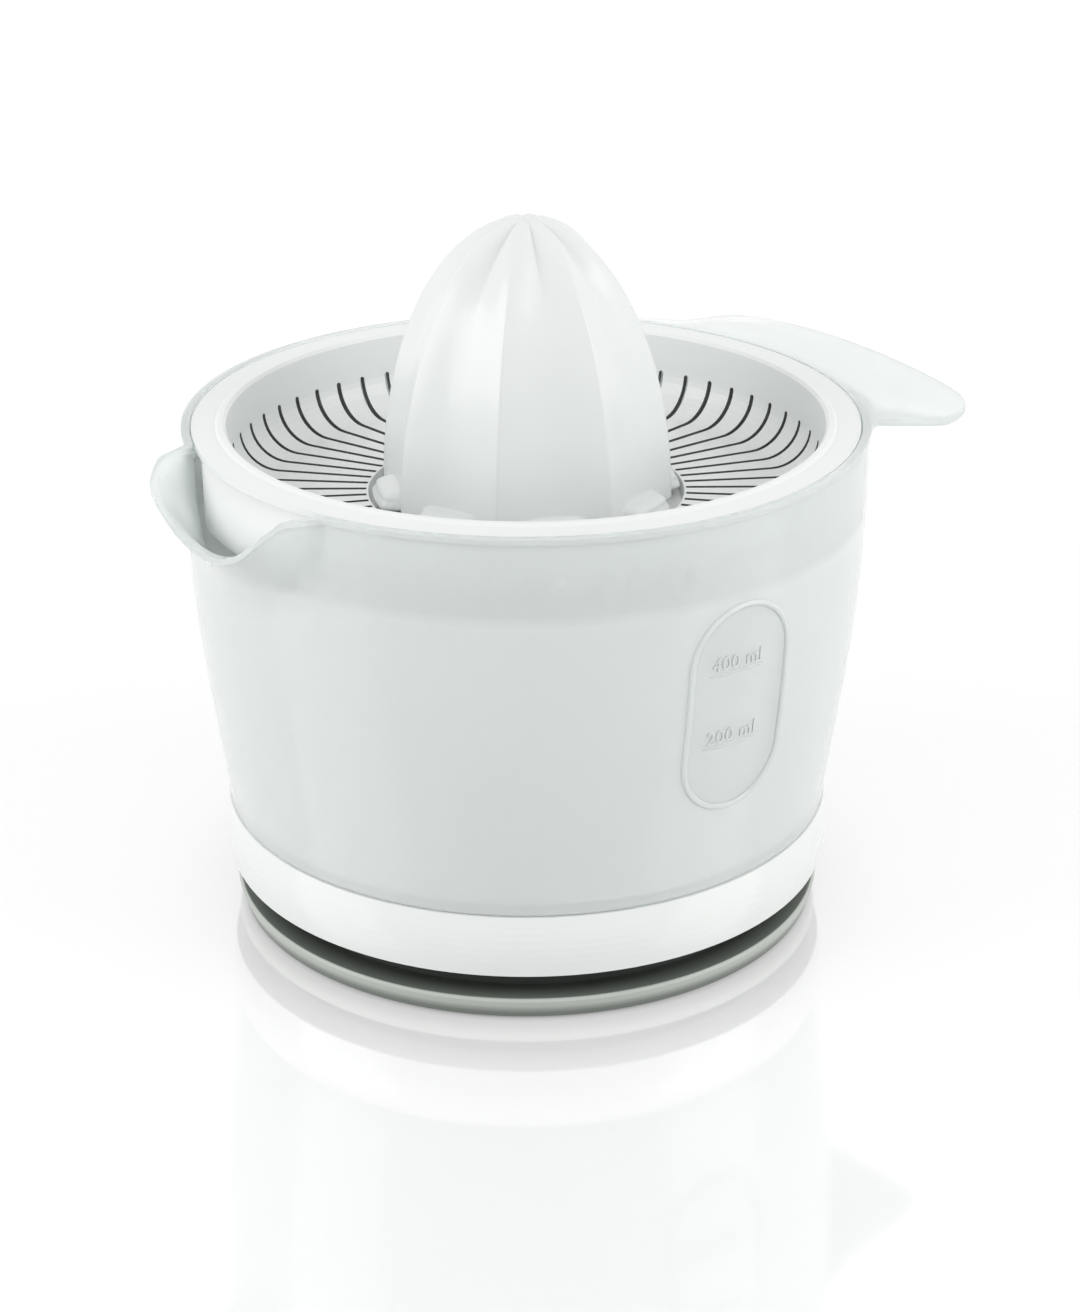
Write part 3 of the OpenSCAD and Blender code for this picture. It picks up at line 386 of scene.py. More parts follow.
def edge_radius(angle):
    """Radius of the outer edge: the rim's, carried out to a rounded rectangle at the handle, which is
    an ellipse of a high power, and eased into it."""
    off = np.radians(np.abs((angle + 180) % 360 - 180))
    near = off < np.radians(HANDLE_ARC)
    along = (np.abs(np.cos(off)) / HANDLE_END) ** HANDLE_SQUARE
    line = (along + (np.sin(off) / HANDLE_HALF) ** HANDLE_SQUARE) ** (-1 / HANDLE_SQUARE)
    rim = RIM_R + RIM_BEAD
    grown = (1 + (np.where(near, line, 0) / rim) ** HANDLE_BLEND) ** (1 / HANDLE_BLEND)
    return np.where(near, rim * grown, rim)


def edge_drop(angle):
    """How far the handle's edge lies below the rim: a little all over, and more as the square of the
    distance from its middle line."""
    edge = edge_radius(angle)
    share = np.minimum(1, (edge - RIM_R) / (HANDLE_END - RIM_R))
    return share * (HANDLE_DROP + HANDLE_CROWN * (edge * np.sin(np.radians(angle)) / HANDLE_HALF) ** 2)


def grip_share(angle):
    """0 on the plain rim and 1 on the handle, in a straight line over the first of its width."""
    return np.clip((edge_radius(angle) - RIM_R - RIM_BEAD) / GRIP_EASE, 0, 1)


def spout_share(angle):
    """1 across the spout and 0 away from it, as a smooth step."""
    return ease((SPOUT_HALF - from_spout(angle)) / SPOUT_OPEN)


def corner(angle, radius, height, reach=0.0):
    """A corner of the jug's section at each angle, with the reach of its rounding."""
    return np.stack(np.broadcast_arrays(radius, height, angle)[:2], -1), reach


def wall_corners(angle, low, high, rows, inward):
    """Corners along the wall from one height to another, moved inwards from its outside."""
    heights = [mix(low, high, t) for t in np.linspace(0, 1, rows + 1)]
    return [corner(angle, wall_radius(z) + swell(angle, z) - inward, z) for z in heights]


def edge_corners(angle, under):
    """Corners out under the bead or the handle, round its edge, back over its top and down to the ledge."""
    top = lip_height(angle)
    rim = RIM_R + spout_out(angle)
    edge = edge_radius(angle) + spout_out(angle)
    drop = edge_drop(angle)
    root = under - GRIP_ROOT * drop - GRIP_UNDERCUT * grip_share(angle)
    ledge = top - mix(LEDGE_DEPTH, LIP_DEPTH, spout_share(angle))
    ledge_in = rim - WALL - mix(LEDGE_IN, LEDGE_LEAST, spout_share(angle))
    return [
        corner(angle, mix(rim, edge, GRIP_ROOT), root, OUTER_ROUND),
        corner(angle, mix(rim, edge, 0.5), under - 0.5 * drop, OUTER_ROUND),
        corner(angle, edge - EDGE_LEAN, under - drop, OUTER_ROUND),
        corner(angle, edge, top - drop, TOP_ROUND),
        corner(angle, mix(rim, edge, 0.5), top - 0.5 * drop, OUTER_ROUND),
        corner(angle, rim - CROWN_IN, top, FINE_ROUND),
        corner(angle, rim - WALL, top, MOUTH_ROUND),
        corner(angle, rim - WALL, ledge, FINE_ROUND),
        corner(angle, ledge_in, ledge - LEDGE_SLOPE, FINE_ROUND),
    ]


def chimney_corners(angle):
    """Corners across the jug's floor, up the outside of the chimney over its shoulder, a quarter
    circle, and its collar, down the inside of both, and to the foot."""
    floor = JUG_FOOT_Z + FLOOR_T
    flat = CHIMNEY_IN - CHIMNEY_GAP - CHIMNEY_LEAN - SHOULDER_R
    inside = SHOULDER_R + CHIMNEY_GAP
    outside = inside + WALL
    roof = SHOULDER_Z + outside
    turn = np.radians(np.linspace(0, 90, SHOULDER_ROWS))
    return [
        corner(angle, wall_radius(floor) - WALL, floor, FLOOR_ROUND),
        corner(angle, CHIMNEY_IN + WALL, floor, CHIMNEY_ROUND),
        *(corner(angle, flat + outside * np.cos(t), SHOULDER_Z + outside * np.sin(t)) for t in turn),
        corner(angle, COLLAR_R + WALL, roof, COLLAR_ROUND),
        corner(angle, COLLAR_R + WALL, COLLAR_TOP + WALL, TOP_ROUND),
        corner(angle, COLLAR_R, COLLAR_TOP + WALL, TOP_ROUND),
        corner(angle, COLLAR_R, roof - WALL, FINE_ROUND),
        *(corner(angle, flat + inside * np.cos(t), SHOULDER_Z + inside * np.sin(t)) for t in turn[::-1]),
        corner(angle, CHIMNEY_IN, JUG_FOOT_Z, TOP_ROUND),
    ]


def jug_section(angle):
    """The jug's closed section at each angle: up the outside, over the edge, down the inside, across
    the floor, up and over the chimney around the motor dome, and back under the floor."""
    top = lip_height(angle)
    under = top - mix(RIM_EDGE, HANDLE_T, grip_share(angle))
    outer_top = under - mix(RIM_BEAD, GRIP_FILLET, grip_share(angle))
    inner_top = top - mix(LEDGE_FOOT, LIP_FOOT, spout_share(angle))
    corners = [
        corner(angle, wall_radius(JUG_FOOT_Z), JUG_FOOT_Z, FOOT_ROUND),
        *wall_corners(angle, JUG_FOOT_Z + FOOT_ROUND, outer_top, WALL_ROWS_OUT, 0)[1:],
        *edge_corners(angle, under),
        *wall_corners(angle, inner_top, JUG_FOOT_Z + FLOOR_T + FLOOR_ROUND, WALL_ROWS_IN, WALL),
        *chimney_corners(angle),
    ]
    return soften(np.stack([place for place, _ in corners]), [reach for _, reach in corners])


def make_jug():
    """The whole jug as one closed surface: its section carried round the pressing axis. Its columns are
    closer together at the handle and the spout."""
    angle = np.concatenate([np.arange(*arc) for arc in COLUMN_ARCS])
    section = jug_section(angle)
    return grid_piece("jug_shell", around(section[..., 0], section[..., 1], angle), close_rows=True)


def stadium(width, height, steps):
    """Points across and up around a stadium's outline, evenly spaced, and the outward direction at each: a
    straight side, a half circle over the top, the other side and a half circle below."""
    radius = width / 2
    straight = height - width
    s = np.arange(steps) / steps * (2 * straight + np.pi * width)
    parts = [s < straight, s < straight + np.pi * radius, s < 2 * straight + np.pi * radius]
    over = (s - straight) / radius
    below = (s - 2 * straight - np.pi * radius) / radius + np.pi
    out_x = np.select(parts, [1 + 0 * s, np.cos(over), -1 + 0 * s], np.cos(below))
    out_z = np.select(parts, [0 * s, np.sin(over), 0 * s], np.sin(below))
    down = straight / 2 - (s - straight - np.pi * radius)
    middle = np.select(parts, [s - straight / 2, straight / 2 + 0 * s, down], -straight / 2)
    return out_x * radius, middle + out_z * radius, out_x, out_z


def on_wall(across, z, proud):
    """Points on the front of the jug: across is measured round the wall, proud is how far they stand
    off it."""
    radius = wall_radius(z)
    angle = -np.pi / 2 + across / radius
    return np.stack([(radius + proud) * np.cos(angle), (radius + proud) * np.sin(angle), z], -1)


def make_bead():
    """The raised bead round the level window: an ellipse, half of it sunk, carried round a stadium on
    the wall."""
    x, z, out_x, out_z = stadium(WINDOW_W - BEAD_W, WINDOW_H - BEAD_W, BEAD_STEPS)
    turn = np.linspace(0, 2 * np.pi, BEAD_SIDES, endpoint=False)[:, None]
    side = BEAD_W / 2 * np.cos(turn)
    points = on_wall(x + side * out_x, WINDOW_Z + z + side * out_z, BEAD_PROUD * np.sin(turn))
    return grid_piece("window_bead", points, close_rows=True)


def make_mark_line(name, z):
    """A level line: a flat ellipse carried across the window, which gets smaller towards its ends as
    the square root of 1 less a high power."""
    along = np.linspace(-1, 1, MARK_ROWS)[:, None]
    turn = np.linspace(0, 2 * np.pi, MARK_SIDES, endpoint=False)
    size = np.sqrt(np.maximum(MARK_END, 1 - along ** MARK_SQUARE))
    x = MARK_LEFT + MARK_HALF * along + 0 * turn
    loops = on_wall(x, z + MARK_THICK * size * np.cos(turn), MARK_PROUD * size * np.sin(turn))
    return grid_piece(name, capped(loops))


def make_mark_text(name, words, z):
    """A plain number of millilitres over its level line: flat letters whose distance across is measured
    round the jug's wall."""
    curve = bpy.data.curves.new(name, "FONT")
    curve.body = words
    curve.align_x = "CENTER"
    curve.size = TEXT_H * FONT_PER_HEIGHT
    curve.extrude = MARK_PROUD
    curve.space_character = LETTER_SPACE
    holder = bpy.data.objects.new(name + "_outline", curve)
    mesh = bpy.data.meshes.new_from_object(holder)
    flat = np.empty(len(mesh.vertices) * 3)
    mesh.vertices.foreach_get("co", flat)
    flat = flat.reshape(-1, 3)
    placed = on_wall(MARK_LEFT + flat[:, 0], z + TEXT_OVER_LINE + flat[:, 1], flat[:, 2])
    mesh.vertices.foreach_set("co", (placed * MM).ravel())
    mesh.update()
    bpy.data.objects.remove(holder)
    bpy.data.curves.remove(curve)
    piece = bpy.data.objects.new(name, mesh)
    bpy.context.collection.objects.link(piece)
    return piece


# ---------- cone ----------

def across_flute(angle):
    """0 on a rib and 1 in the middle of a flute: the size of a sine with half the ribs' pitch."""
    return np.abs(np.sin(np.radians(RIBS * (angle - RIB_TURN) / 2)))


def flute_shape(angle, share):
    """How deep a flute is across its width: sharp ribs and round flutes below, and near the top round
    lobes with narrow grooves, as a quarter circle."""
    wave = across_flute(angle)
    return mix(wave, 1 - np.sqrt(1 - wave ** 2), ease((share - LOBES_FROM) / LOBES_OVER))


def flute_depth(share):
    """Share of the radius that the middle of a flute is cut back by; it grows towards the top."""
    return FLUTE * (1 + FLUTE_GROWTH * ease((share - LOBES_FROM) / GROWTH_OVER))


def petal_radius(angle, z):
    """Radius of the petals at a height above the foot: a part stays and the rest is a quarter ellipse, less
    between the petals, with a swelling above the sieve's floor that is one smooth step up and one down."""
    crown = mix(PETAL_STAYS, 1, np.sqrt(np.maximum(0, 1 - (z / PETAL_H) ** 2)))
    middle = ease((across_flute(angle) - PETAL_SIDE) / PETAL_SIDE_OVER)
    over = ease((z - OVER_LOW) / OVER_RISE) * (1 - ease((z - OVER_HIGH) / OVER_FALL))
    return PETAL_R * crown * mix(PETAL_VALLEY, 1, middle) + PETAL_OVER * middle * over


def cone_radius(angle, share):
    """Radius at an angle and a share of the way up the side: a quarter ellipse cut back by the flutes,
    or the petals where they stand out further."""
    side = CONE_R * np.cos(np.pi / 2 * share) * (1 - flute_depth(share) * flute_shape(angle, share))
    z = CONE_H * np.sin(np.pi / 2 * share)
    return np.where(z < PETAL_H, np.maximum(side, petal_radius(angle, z)), side)


def cone_height(radius, share):
    """Height on the outside: a sine of the share, less a small dip around the middle of the tip."""
    dip = TIP_DIP * ease(1 - radius / TIP_R) * (share > TIP_FROM)
    return CONE_LOW + CONE_H * np.sin(np.pi / 2 * share) - dip


def cavity_radius(z):
    """Radius of the hollow under the cone at a height: the bottom of the flutes, less the wall."""
    up = np.clip((z - CONE_LOW) / CONE_H, 0, 1)
    return CONE_R * np.sqrt(1 - up ** 2) * (1 - flute_depth(2 / np.pi * np.arcsin(up))) - CONE_WALL


def make_cone():
    """The squeezing cone: down the inside of its hollow, and up the outside over ribs and flutes to the
    tip. Its rows get closer together towards the top of the petals and towards the tip."""
    columns = RIBS * RIB_COLUMNS
    angle = RIB_TURN + np.arange(columns) * 360 / columns
    foot = 2 / np.pi * np.arcsin(PETAL_H / CONE_H)
    petal_rows = foot * np.linspace(0, 1, PETAL_ROWS) ** PETAL_CROWD
    side_rows = mix(foot, LAST_ROW, np.linspace(0, 1, SIDE_ROWS)[1:] ** SIDE_CROWD)
    share = np.concatenate([petal_rows, side_rows])[:, None]
    radius = cone_radius(angle, share)
    z = np.linspace(SOCKET_ROOF, CONE_LOW, HOLLOW_ROWS)[:, None]
    pole = np.zeros((1, columns))
    return grid_piece("cone_shell", np.concatenate([
        around(pole, SOCKET_ROOF, angle),
        around(cavity_radius(z) + 0 * angle, z, angle),
        around(radius, cone_height(radius, share), angle),
        around(pole, CONE_LOW + CONE_H - TIP_DIP, angle)]))


def hexagon(flats, angle):
    """Radius of a hexagon measured across its flats, at each angle: half the flats over a cosine."""
    turn = np.radians((angle + 30) % 60 - 30)
    return flats / 2 / np.cos(turn)


def make_socket():
    """The drive socket under the cone: down a hexagonal hole from its roof, and up a round boss on the
    outside."""
    angle = np.arange(0, 360, SOCKET_STEP)
    hole = hexagon(SOCKET_FLATS, angle - 30)
    top = SOCKET_ROOF + SOCKET_TOP_T
    rows = [
        (0, SOCKET_ROOF), (hole, SOCKET_ROOF), (hole, SOCKET_LOW + SOCKET_MOUTH), (hole, SOCKET_LOW),
        (SOCKET_BOSS_R - SOCKET_CHAMFER, SOCKET_LOW), (SOCKET_BOSS_R, SOCKET_LOW + SOCKET_CHAMFER),
        (SOCKET_BOSS_R, top), (0, top),
    ]
    return grid_piece("cone_socket", np.stack([around(radius + 0 * angle, z, angle) for radius, z in rows]))


def make_web(name, angle):
    """One web from the socket's boss to the wall of the hollow: its outer edge follows the wall, and
    its lower edge thins out as a square root."""
    z = mix(WEB_LOW, SOCKET_ROOF + SOCKET_TOP_T / 2, np.linspace(0, 1, WEB_ROWS) ** WEB_CROWD)
    half = WEB_T / 2 * np.minimum(1, np.sqrt(z - WEB_LOW) + WEB_EDGE)
    along = np.array([0, 0.33, 0.66, 1, 1, 0.66, 0.33, 0])
    side = np.array([-1, -1, -1, -1, 1, 1, 1, 1])
    reach = mix(SOCKET_BOSS_R - WEB_INTO_BOSS, cavity_radius(z)[:, None] + WEB_INTO_WALL, along)
    width = half[:, None] * side
    turn = np.radians(angle)
    return grid_piece(name, capped(np.stack([reach * np.cos(turn) - width * np.sin(turn),
                                             reach * np.sin(turn) + width * np.cos(turn),
                                             z[:, None] + 0 * reach], -1)))


# ---------- sieve and spring ----------

def make_apron():
    """The sieve's apron: a wall that hangs from the flange across the spout, flush with the flange's
    edge in the middle and eased back to the skirt at both ends; its rounded lower edge rises towards
    them."""
    angle = 180 + np.linspace(-APRON_HALF, APRON_HALF, APRON_COLUMNS)
    off = from_spout(angle)
    out = mix(SKIRT_R + APRON_LAP, FLANGE_R, ease((APRON_HALF - APRON_FLUSH - off) / APRON_BLEND))
    low = mix(SKIRT_LOW, APRON_LOW, ease((APRON_HALF - off) / APRON_RISE))
    inner = SKIRT_R - APRON_T
    section = [
        (out, APRON_TOP), (out, low + APRON_EDGE_H), (out - APRON_EDGE_W, low),
        (inner + APRON_EDGE_W, low), (inner, low + APRON_EDGE_H), (inner, APRON_TOP),
    ]
    loops = np.stack([around(radius, z, angle) for radius, z in section], 1)
    return grid_piece("sieve_apron", capped(loops))


def make_spring():
    """The return spring: a round wire carried up a helix whose end turns lie nearly flat, because its
    height is mostly a smooth step of the way along it."""
    t = np.linspace(0, 1, SPRING_TURNS * TURN_STEPS + 1)[:, None]
    step = ease((t - SPRING_FLAT) / (1 - 2 * SPRING_FLAT))
    z = mix(SPRING_BOX[0][2] + SPRING_WIRE_R, SPRING_BOX[1][2] - SPRING_WIRE_R, mix(step, t, SPRING_CREEP))
    wire = np.radians(np.arange(0, 360, WIRE_STEP))
    radius = SPRING_BOX[1][0] - SPRING_WIRE_R * (1 - np.cos(wire))
    loops = around(radius, z - SPRING_WIRE_R * np.sin(wire), 360 * SPRING_TURNS * t)
    return grid_piece("spring_coil", capped(loops))


# ---------- shader nodes ----------

CLOUD_SCALE = 18
CLOUD_SHADE = 0.98
SKIN_STRENGTH = 0.2


def material(name):
    """An empty node material, its tree and its shader."""
    made = bpy.data.materials.new(name)
    made.use_nodes = True
    return made, made.node_tree, made.node_tree.nodes["Principled BSDF"]


def feed(tree, socket, value):
    """Gives a socket a number or a colour, or links another node's socket to it."""
    if isinstance(value, bpy.types.NodeSocket):
        tree.links.new(value, socket)
    elif isinstance(value, (int, float)):
        socket.default_value = value
    else:
        socket.default_value = (*value, 1)


def noise(tree, scale, detail=2.0, stretch=(1, 1, 1)):
    """Noise on Object coordinates, scale in cells per metre."""
    coords = tree.nodes.new("ShaderNodeTexCoord")
    mapping = tree.nodes.new("ShaderNodeMapping")
    mapping.inputs["Scale"].default_value = stretch
    made = tree.nodes.new("ShaderNodeTexNoise")
    made.inputs["Scale"].default_value = scale
    made.inputs["Detail"].default_value = detail
    tree.links.new(coords.outputs["Object"], mapping.inputs["Vector"])
    tree.links.new(mapping.outputs["Vector"], made.inputs["Vector"])
    return made.outputs["Fac"]


def ranged(tree, value, low, high, start=0.3, end=0.7):
    """A value brought from one range into another; noise lies mostly between 0.3 and 0.7."""
    node = tree.nodes.new("ShaderNodeMapRange")
    for key, amount in zip(("From Min", "From Max", "To Min", "To Max"), (start, end, low, high)):
        node.inputs[key].default_value = amount
    tree.links.new(value, node.inputs["Value"])
    return node.outputs["Result"]


def between(tree, value, first, second, kind="FLOAT"):
    """A number between two, by a value from 0 to 1; the kind RGBA makes it a colour."""
    node = tree.nodes.new("ShaderNodeMix")
    node.data_type = kind
    for key, amount in zip(("Factor", "A", "B"), (value, first, second)):
        feed(tree, node.inputs[key], amount)
    return node.outputs["Result"]


def blend(tree, value, first, second):
    """A colour between two, by a value from 0 to 1."""
    return between(tree, value, first, second, "RGBA")


def math_node(tree, operation, first, second=0.0):
    """One step of arithmetic; each input is a socket or a number."""
    node = tree.nodes.new("ShaderNodeMath")
    node.operation = operation
    feed(tree, node.inputs[0], first)
    feed(tree, node.inputs[1], second)
    return node.outputs["Value"]


def bumped(tree, shader, value, distance, strength):
    """Lets a value raise and lower the surface by up to a distance in metres."""
    node = tree.nodes.new("ShaderNodeBump")
    node.inputs["Strength"].default_value = strength
    node.inputs["Distance"].default_value = distance
    tree.links.new(value, node.inputs["Height"])
    tree.links.new(node.outputs["Normal"], shader.inputs["Normal"])


def object_axes(tree):
    """The X, Y and Z of Object coordinates."""
    coords = tree.nodes.new("ShaderNodeTexCoord")
    parts = tree.nodes.new("ShaderNodeSeparateXYZ")
    tree.links.new(coords.outputs["Object"], parts.inputs["Vector"])
    return parts.outputs["X"], parts.outputs["Y"], parts.outputs["Z"]


def length_of(tree, first, second):
    """Length of a flat vector from its two parts."""
    squares = [math_node(tree, "MULTIPLY", part, part) for part in (first, second)]
    return math_node(tree, "SQRT", math_node(tree, "ADD", *squares))


def clouded(tree, colour, scale=CLOUD_SCALE, shade=CLOUD_SHADE):
    """A colour with faint clouds of a darker shade in it."""
    return blend(tree, ranged(tree, noise(tree, scale), 0, 1), colour, [part * shade for part in colour])


def skinned(tree, shader, grain, low, high, depth):
    """A fine moulded skin: noise between two roughnesses, which also raises the surface."""
    skin = noise(tree, grain)
    tree.links.new(ranged(tree, skin, low, high), shader.inputs["Roughness"])
    bumped(tree, shader, skin, depth, SKIN_STRENGTH)


def coated(shader, weight, rough):
    """A clear gloss over the surface."""
    shader.inputs["Coat Weight"].default_value = weight
    shader.inputs["Coat Roughness"].default_value = rough


# ---------- finishes ----------

SKIN_GRAIN = 260
SKIN_DEPTH_M = 0.000005
COARSE_DEPTH_M = 0.00005
SKIN_UNEVEN = 0.015
COAT_ROUGH = 0.08
LINE_SHADE = 0.85
LINE_UNEVEN = 0.3
LINE_DETAIL = 3
LINE_DEPTH_M = 0.00001
LINE_STRENGTH = 0.3
BAND_UNEVEN = 0.2
BAND_WAVER = 0.2
BAND_DEPTH_M = 0.0001
BAND_STRENGTH = 0.5
RADIAN_SCALE = 0.05
FROST_CLOUD_SCALE = 14
FROST_CLOUD_SHADE = 0.985
FROST_GRAIN = 1600
FROST_UNEVEN = 0.03
FROSTED_IOR = 1.35
CLEARER_FROM = 104.0
CLEARER_BLEND = 1.5
# How much lighter the groove's painted shade gets towards its edge
GROOVE_SHADE_LIGHTER = 4
PLATE_GRAIN = 1200
PLATE_ROUGH = (0.30, 0.36)
PLATE_DEPTH_M = 0.000004
SIEVE_COAT = 0.15
SIEVE_COAT_ROUGH = 0.1


def moulded(name, colour, rough, grain=SKIN_GRAIN, depth=SKIN_DEPTH_M, coat=0.0):
    """Moulded plastic: a faint cloud in its colour, and a fine skin in its gloss and its surface."""
    made, tree, shader = material(name)
    tree.links.new(clouded(tree, colour), shader.inputs["Base Color"])
    skinned(tree, shader, grain, rough * (1 - SKIN_UNEVEN), rough * (1 + SKIN_UNEVEN), depth)
    coated(shader, coat, COAT_ROUGH)
    return made


def metal(name, colour, rough, stretch=(1, 1, 0.05), grain=1500):
    """Worked metal: fine lines drawn round or along it in its colour and gloss."""
    made, tree, shader = material(name)
    lines = noise(tree, grain, LINE_DETAIL, stretch)
    streaked = blend(tree, ranged(tree, lines, 0, 1), colour, [part * LINE_SHADE for part in colour])
    gloss = ranged(tree, lines, rough * (1 - LINE_UNEVEN), rough * (1 + LINE_UNEVEN))
    tree.links.new(streaked, shader.inputs["Base Color"])
    tree.links.new(gloss, shader.inputs["Roughness"])
    bumped(tree, shader, lines, LINE_DEPTH_M, LINE_STRENGTH)
    shader.inputs["Metallic"].default_value = 1.0
    return made


def banded(name, light, dark, radian, axis, rough, metallic):
    """Fine parallel bands, such as the sheets of a core or the turns of a winding: a sine wave from dark to
    light that is 2 pi times radian long."""
    made, tree, shader = material(name)
    coords = tree.nodes.new("ShaderNodeTexCoord")
    bands = tree.nodes.new("ShaderNodeTexWave")
    bands.bands_direction = axis
    bands.inputs["Scale"].default_value = RADIAN_SCALE / (radian * MM)
    bands.inputs["Distortion"].default_value = BAND_WAVER
    tree.links.new(coords.outputs["Object"], bands.inputs["Vector"])
    tree.links.new(blend(tree, bands.outputs["Fac"], dark, light), shader.inputs["Base Color"])
    gloss = ranged(tree, bands.outputs["Fac"], rough * (1 + BAND_UNEVEN), rough * (1 - BAND_UNEVEN), 0, 1)
    tree.links.new(gloss, shader.inputs["Roughness"])
    bumped(tree, shader, bands.outputs["Fac"], BAND_DEPTH_M, BAND_STRENGTH)
    shader.inputs["Metallic"].default_value = metallic
    return made


def window_mask(tree):
    """1 inside the level window and 0 outside it, from the distance to the stadium's middle line on the
    front."""
    x, y, z = object_axes(tree)
    straight = (WINDOW_H - WINDOW_W) / 2 * MM
    off_z = math_node(tree, "ABSOLUTE", math_node(tree, "SUBTRACT", z, WINDOW_Z * MM))
    off_z = math_node(tree, "MAXIMUM", math_node(tree, "SUBTRACT", off_z, straight), 0.0)
    inside = math_node(tree, "LESS_THAN", length_of(tree, off_z, x), (WINDOW_W - BEAD_W) / 2 * MM)
    front = math_node(tree, "LESS_THAN", y, -CHIMNEY_IN * MM)
    return math_node(tree, "MULTIPLY", inside, front)


def frosted_wall(name, colour, rough, window_rough, milk, window_milk, top_milk):
    """Frosted milky plastic that is clearer inside the level window and round the sieve at the top;
    milk is the share that doesn't let light pass."""
    made, tree, shader = material(name)
    window = window_mask(tree)
    milky = clouded(tree, colour, FROST_CLOUD_SCALE, FROST_CLOUD_SHADE)
    tree.links.new(milky, shader.inputs["Base Color"])
    frost = ranged(tree, noise(tree, FROST_GRAIN), rough * (1 - FROST_UNEVEN), rough * (1 + FROST_UNEVEN))
    tree.links.new(between(tree, window, frost, window_rough), shader.inputs["Roughness"])
    height = object_axes(tree)[2]
    passing = ranged(tree, height, 1 - milk, 1 - top_milk,
                     (CLEARER_FROM - CLEARER_BLEND) * MM, (CLEARER_FROM + CLEARER_BLEND) * MM)
    tree.links.new(between(tree, window, passing, 1 - window_milk), shader.inputs["Transmission Weight"])
    shader.inputs["IOR"].default_value = FROSTED_IOR
    return made


def slot_shade_mask(tree):
    """Where the sieve's juice slots get painted shade: 1 on the walls of the slots and 0 elsewhere: near the
    middle plane of a slot, outside the slots' inner ends and below their tops."""
    x, y, z = object_axes(tree)
    reach = length_of(tree, x, y)
    turn = math_node(tree, "PINGPONG", math_node(tree, "ARCTAN2", y, x), np.pi / SLOTS)
    off = math_node(tree, "MULTIPLY", reach, turn)
    near = math_node(tree, "LESS_THAN", off, (SLOT_W / 2 + SLOT_SPARE) * MM)
    outside = math_node(tree, "GREATER_THAN", reach, SLOT_IN_R * MM)
    below = math_node(tree, "LESS_THAN", z, SLOT_TOP * MM)
    return math_node(tree, "MULTIPLY", near, math_node(tree, "MULTIPLY", outside, below))


def slot_shaded(name, colour, rough, shade):
    """Moulded plastic with painted shade on the walls of its juice slots."""
    made, tree, shader = material(name)
    tree.links.new(blend(tree, slot_shade_mask(tree), clouded(tree, colour), shade), shader.inputs["Base Color"])
    skinned(tree, shader, SKIN_GRAIN, rough * (1 - SKIN_UNEVEN), rough * (1 + SKIN_UNEVEN), SKIN_DEPTH_M)
    coated(shader, SIEVE_COAT, SIEVE_COAT_ROUGH)
    return made


def plate_painted_light_and_shade(name, top, foot, groove_shade):
    """Satin grey of the base plate, with painted light and shade: a painted highlight along its upper edge,
    painted shade darker towards the foot, and painted shade in the groove, which gets a little lighter
    towards its edge."""
    made, tree, shader = material(name)
    x, y, z = object_axes(tree)
    reach = length_of(tree, x, y)
    edge = PLATE_R - GROOVE_EDGE
    side = blend(tree, ranged(tree, z, 0, 1, 0, PLATE_TOP * MM), foot, top)
    outward = ranged(tree, reach, 0, 1, (PLATE_R - GROOVE_DEPTH) * MM, edge * MM)
    dark = blend(tree, outward, groove_shade, [part * GROOVE_SHADE_LIGHTER for part in groove_shade])
    inner = ranged(tree, reach, 1, 0, edge * MM, (edge + GROOVE_BLEND) * MM)
    tree.links.new(blend(tree, inner, side, dark), shader.inputs["Base Color"])
    skinned(tree, shader, PLATE_GRAIN, *PLATE_ROUGH, PLATE_DEPTH_M)
    return made


WHITE = (0.84, 0.86, 0.85)
FINISHES = {
    "white_gloss": moulded("white_gloss", (0.86, 0.88, 0.865), 0.22, coat=0.3),
    # The plate's upper edge is a painted highlight, its foot darker with painted shade, its groove dark with
    # painted shade
    "grey_satin": plate_painted_light_and_shade("grey_satin", (0.54, 0.57, 0.53), (0.40, 0.42, 0.39), (0.045, 0.05, 0.045)),
    "dark_rubber": moulded("dark_rubber", (0.03, 0.03, 0.03), 0.75, grain=500, depth=COARSE_DEPTH_M),
    "plated_steel": metal("plated_steel", (0.56, 0.56, 0.54), 0.35),
    "bright_steel": metal("bright_steel", (0.70, 0.70, 0.70), 0.22),
    "ivory_plastic": moulded("ivory_plastic", (0.74, 0.70, 0.58), 0.4),
    "grey_nylon": moulded("grey_nylon", (0.50, 0.51, 0.51), 0.5, grain=600),
    "black_plastic": moulded("black_plastic", (0.02, 0.02, 0.02), 0.4),
    "red_plastic": moulded("red_plastic", (0.42, 0.03, 0.02), 0.35),
    "wire_sleeve": moulded("wire_sleeve", (0.10, 0.20, 0.45), 0.5, grain=1200),
    "lamination": banded("lamination", (0.20, 0.21, 0.23), (0.05, 0.05, 0.055), 0.5, "Z", 0.45, 0.9),
    "copper": banded("copper", (0.55, 0.22, 0.08), (0.20, 0.06, 0.02), 0.4, "X", 0.3, 0.7),
    "bronze": metal("bronze", (0.55, 0.38, 0.18), 0.45, stretch=(1, 1, 1), grain=2500),
    "ferrite": moulded("ferrite", (0.05, 0.05, 0.055), 0.6, grain=1800, depth=COARSE_DEPTH_M),
    "frosted_clear": frosted_wall("frosted_clear", (0.955, 0.99, 0.98), 0.09, 0.06, 0.64, 0.56, 0.54),
    # The walls of the sieve's juice slots are painted a dark grey as shade
    "white_sieve": slot_shaded("white_sieve", WHITE, 0.35, (0.13, 0.135, 0.135)),
    "white_cone": moulded("white_cone", (0.79, 0.815, 0.805), 0.28, coat=0.2),
}
APRON_WHITE = moulded("apron_white", WHITE, 0.35)
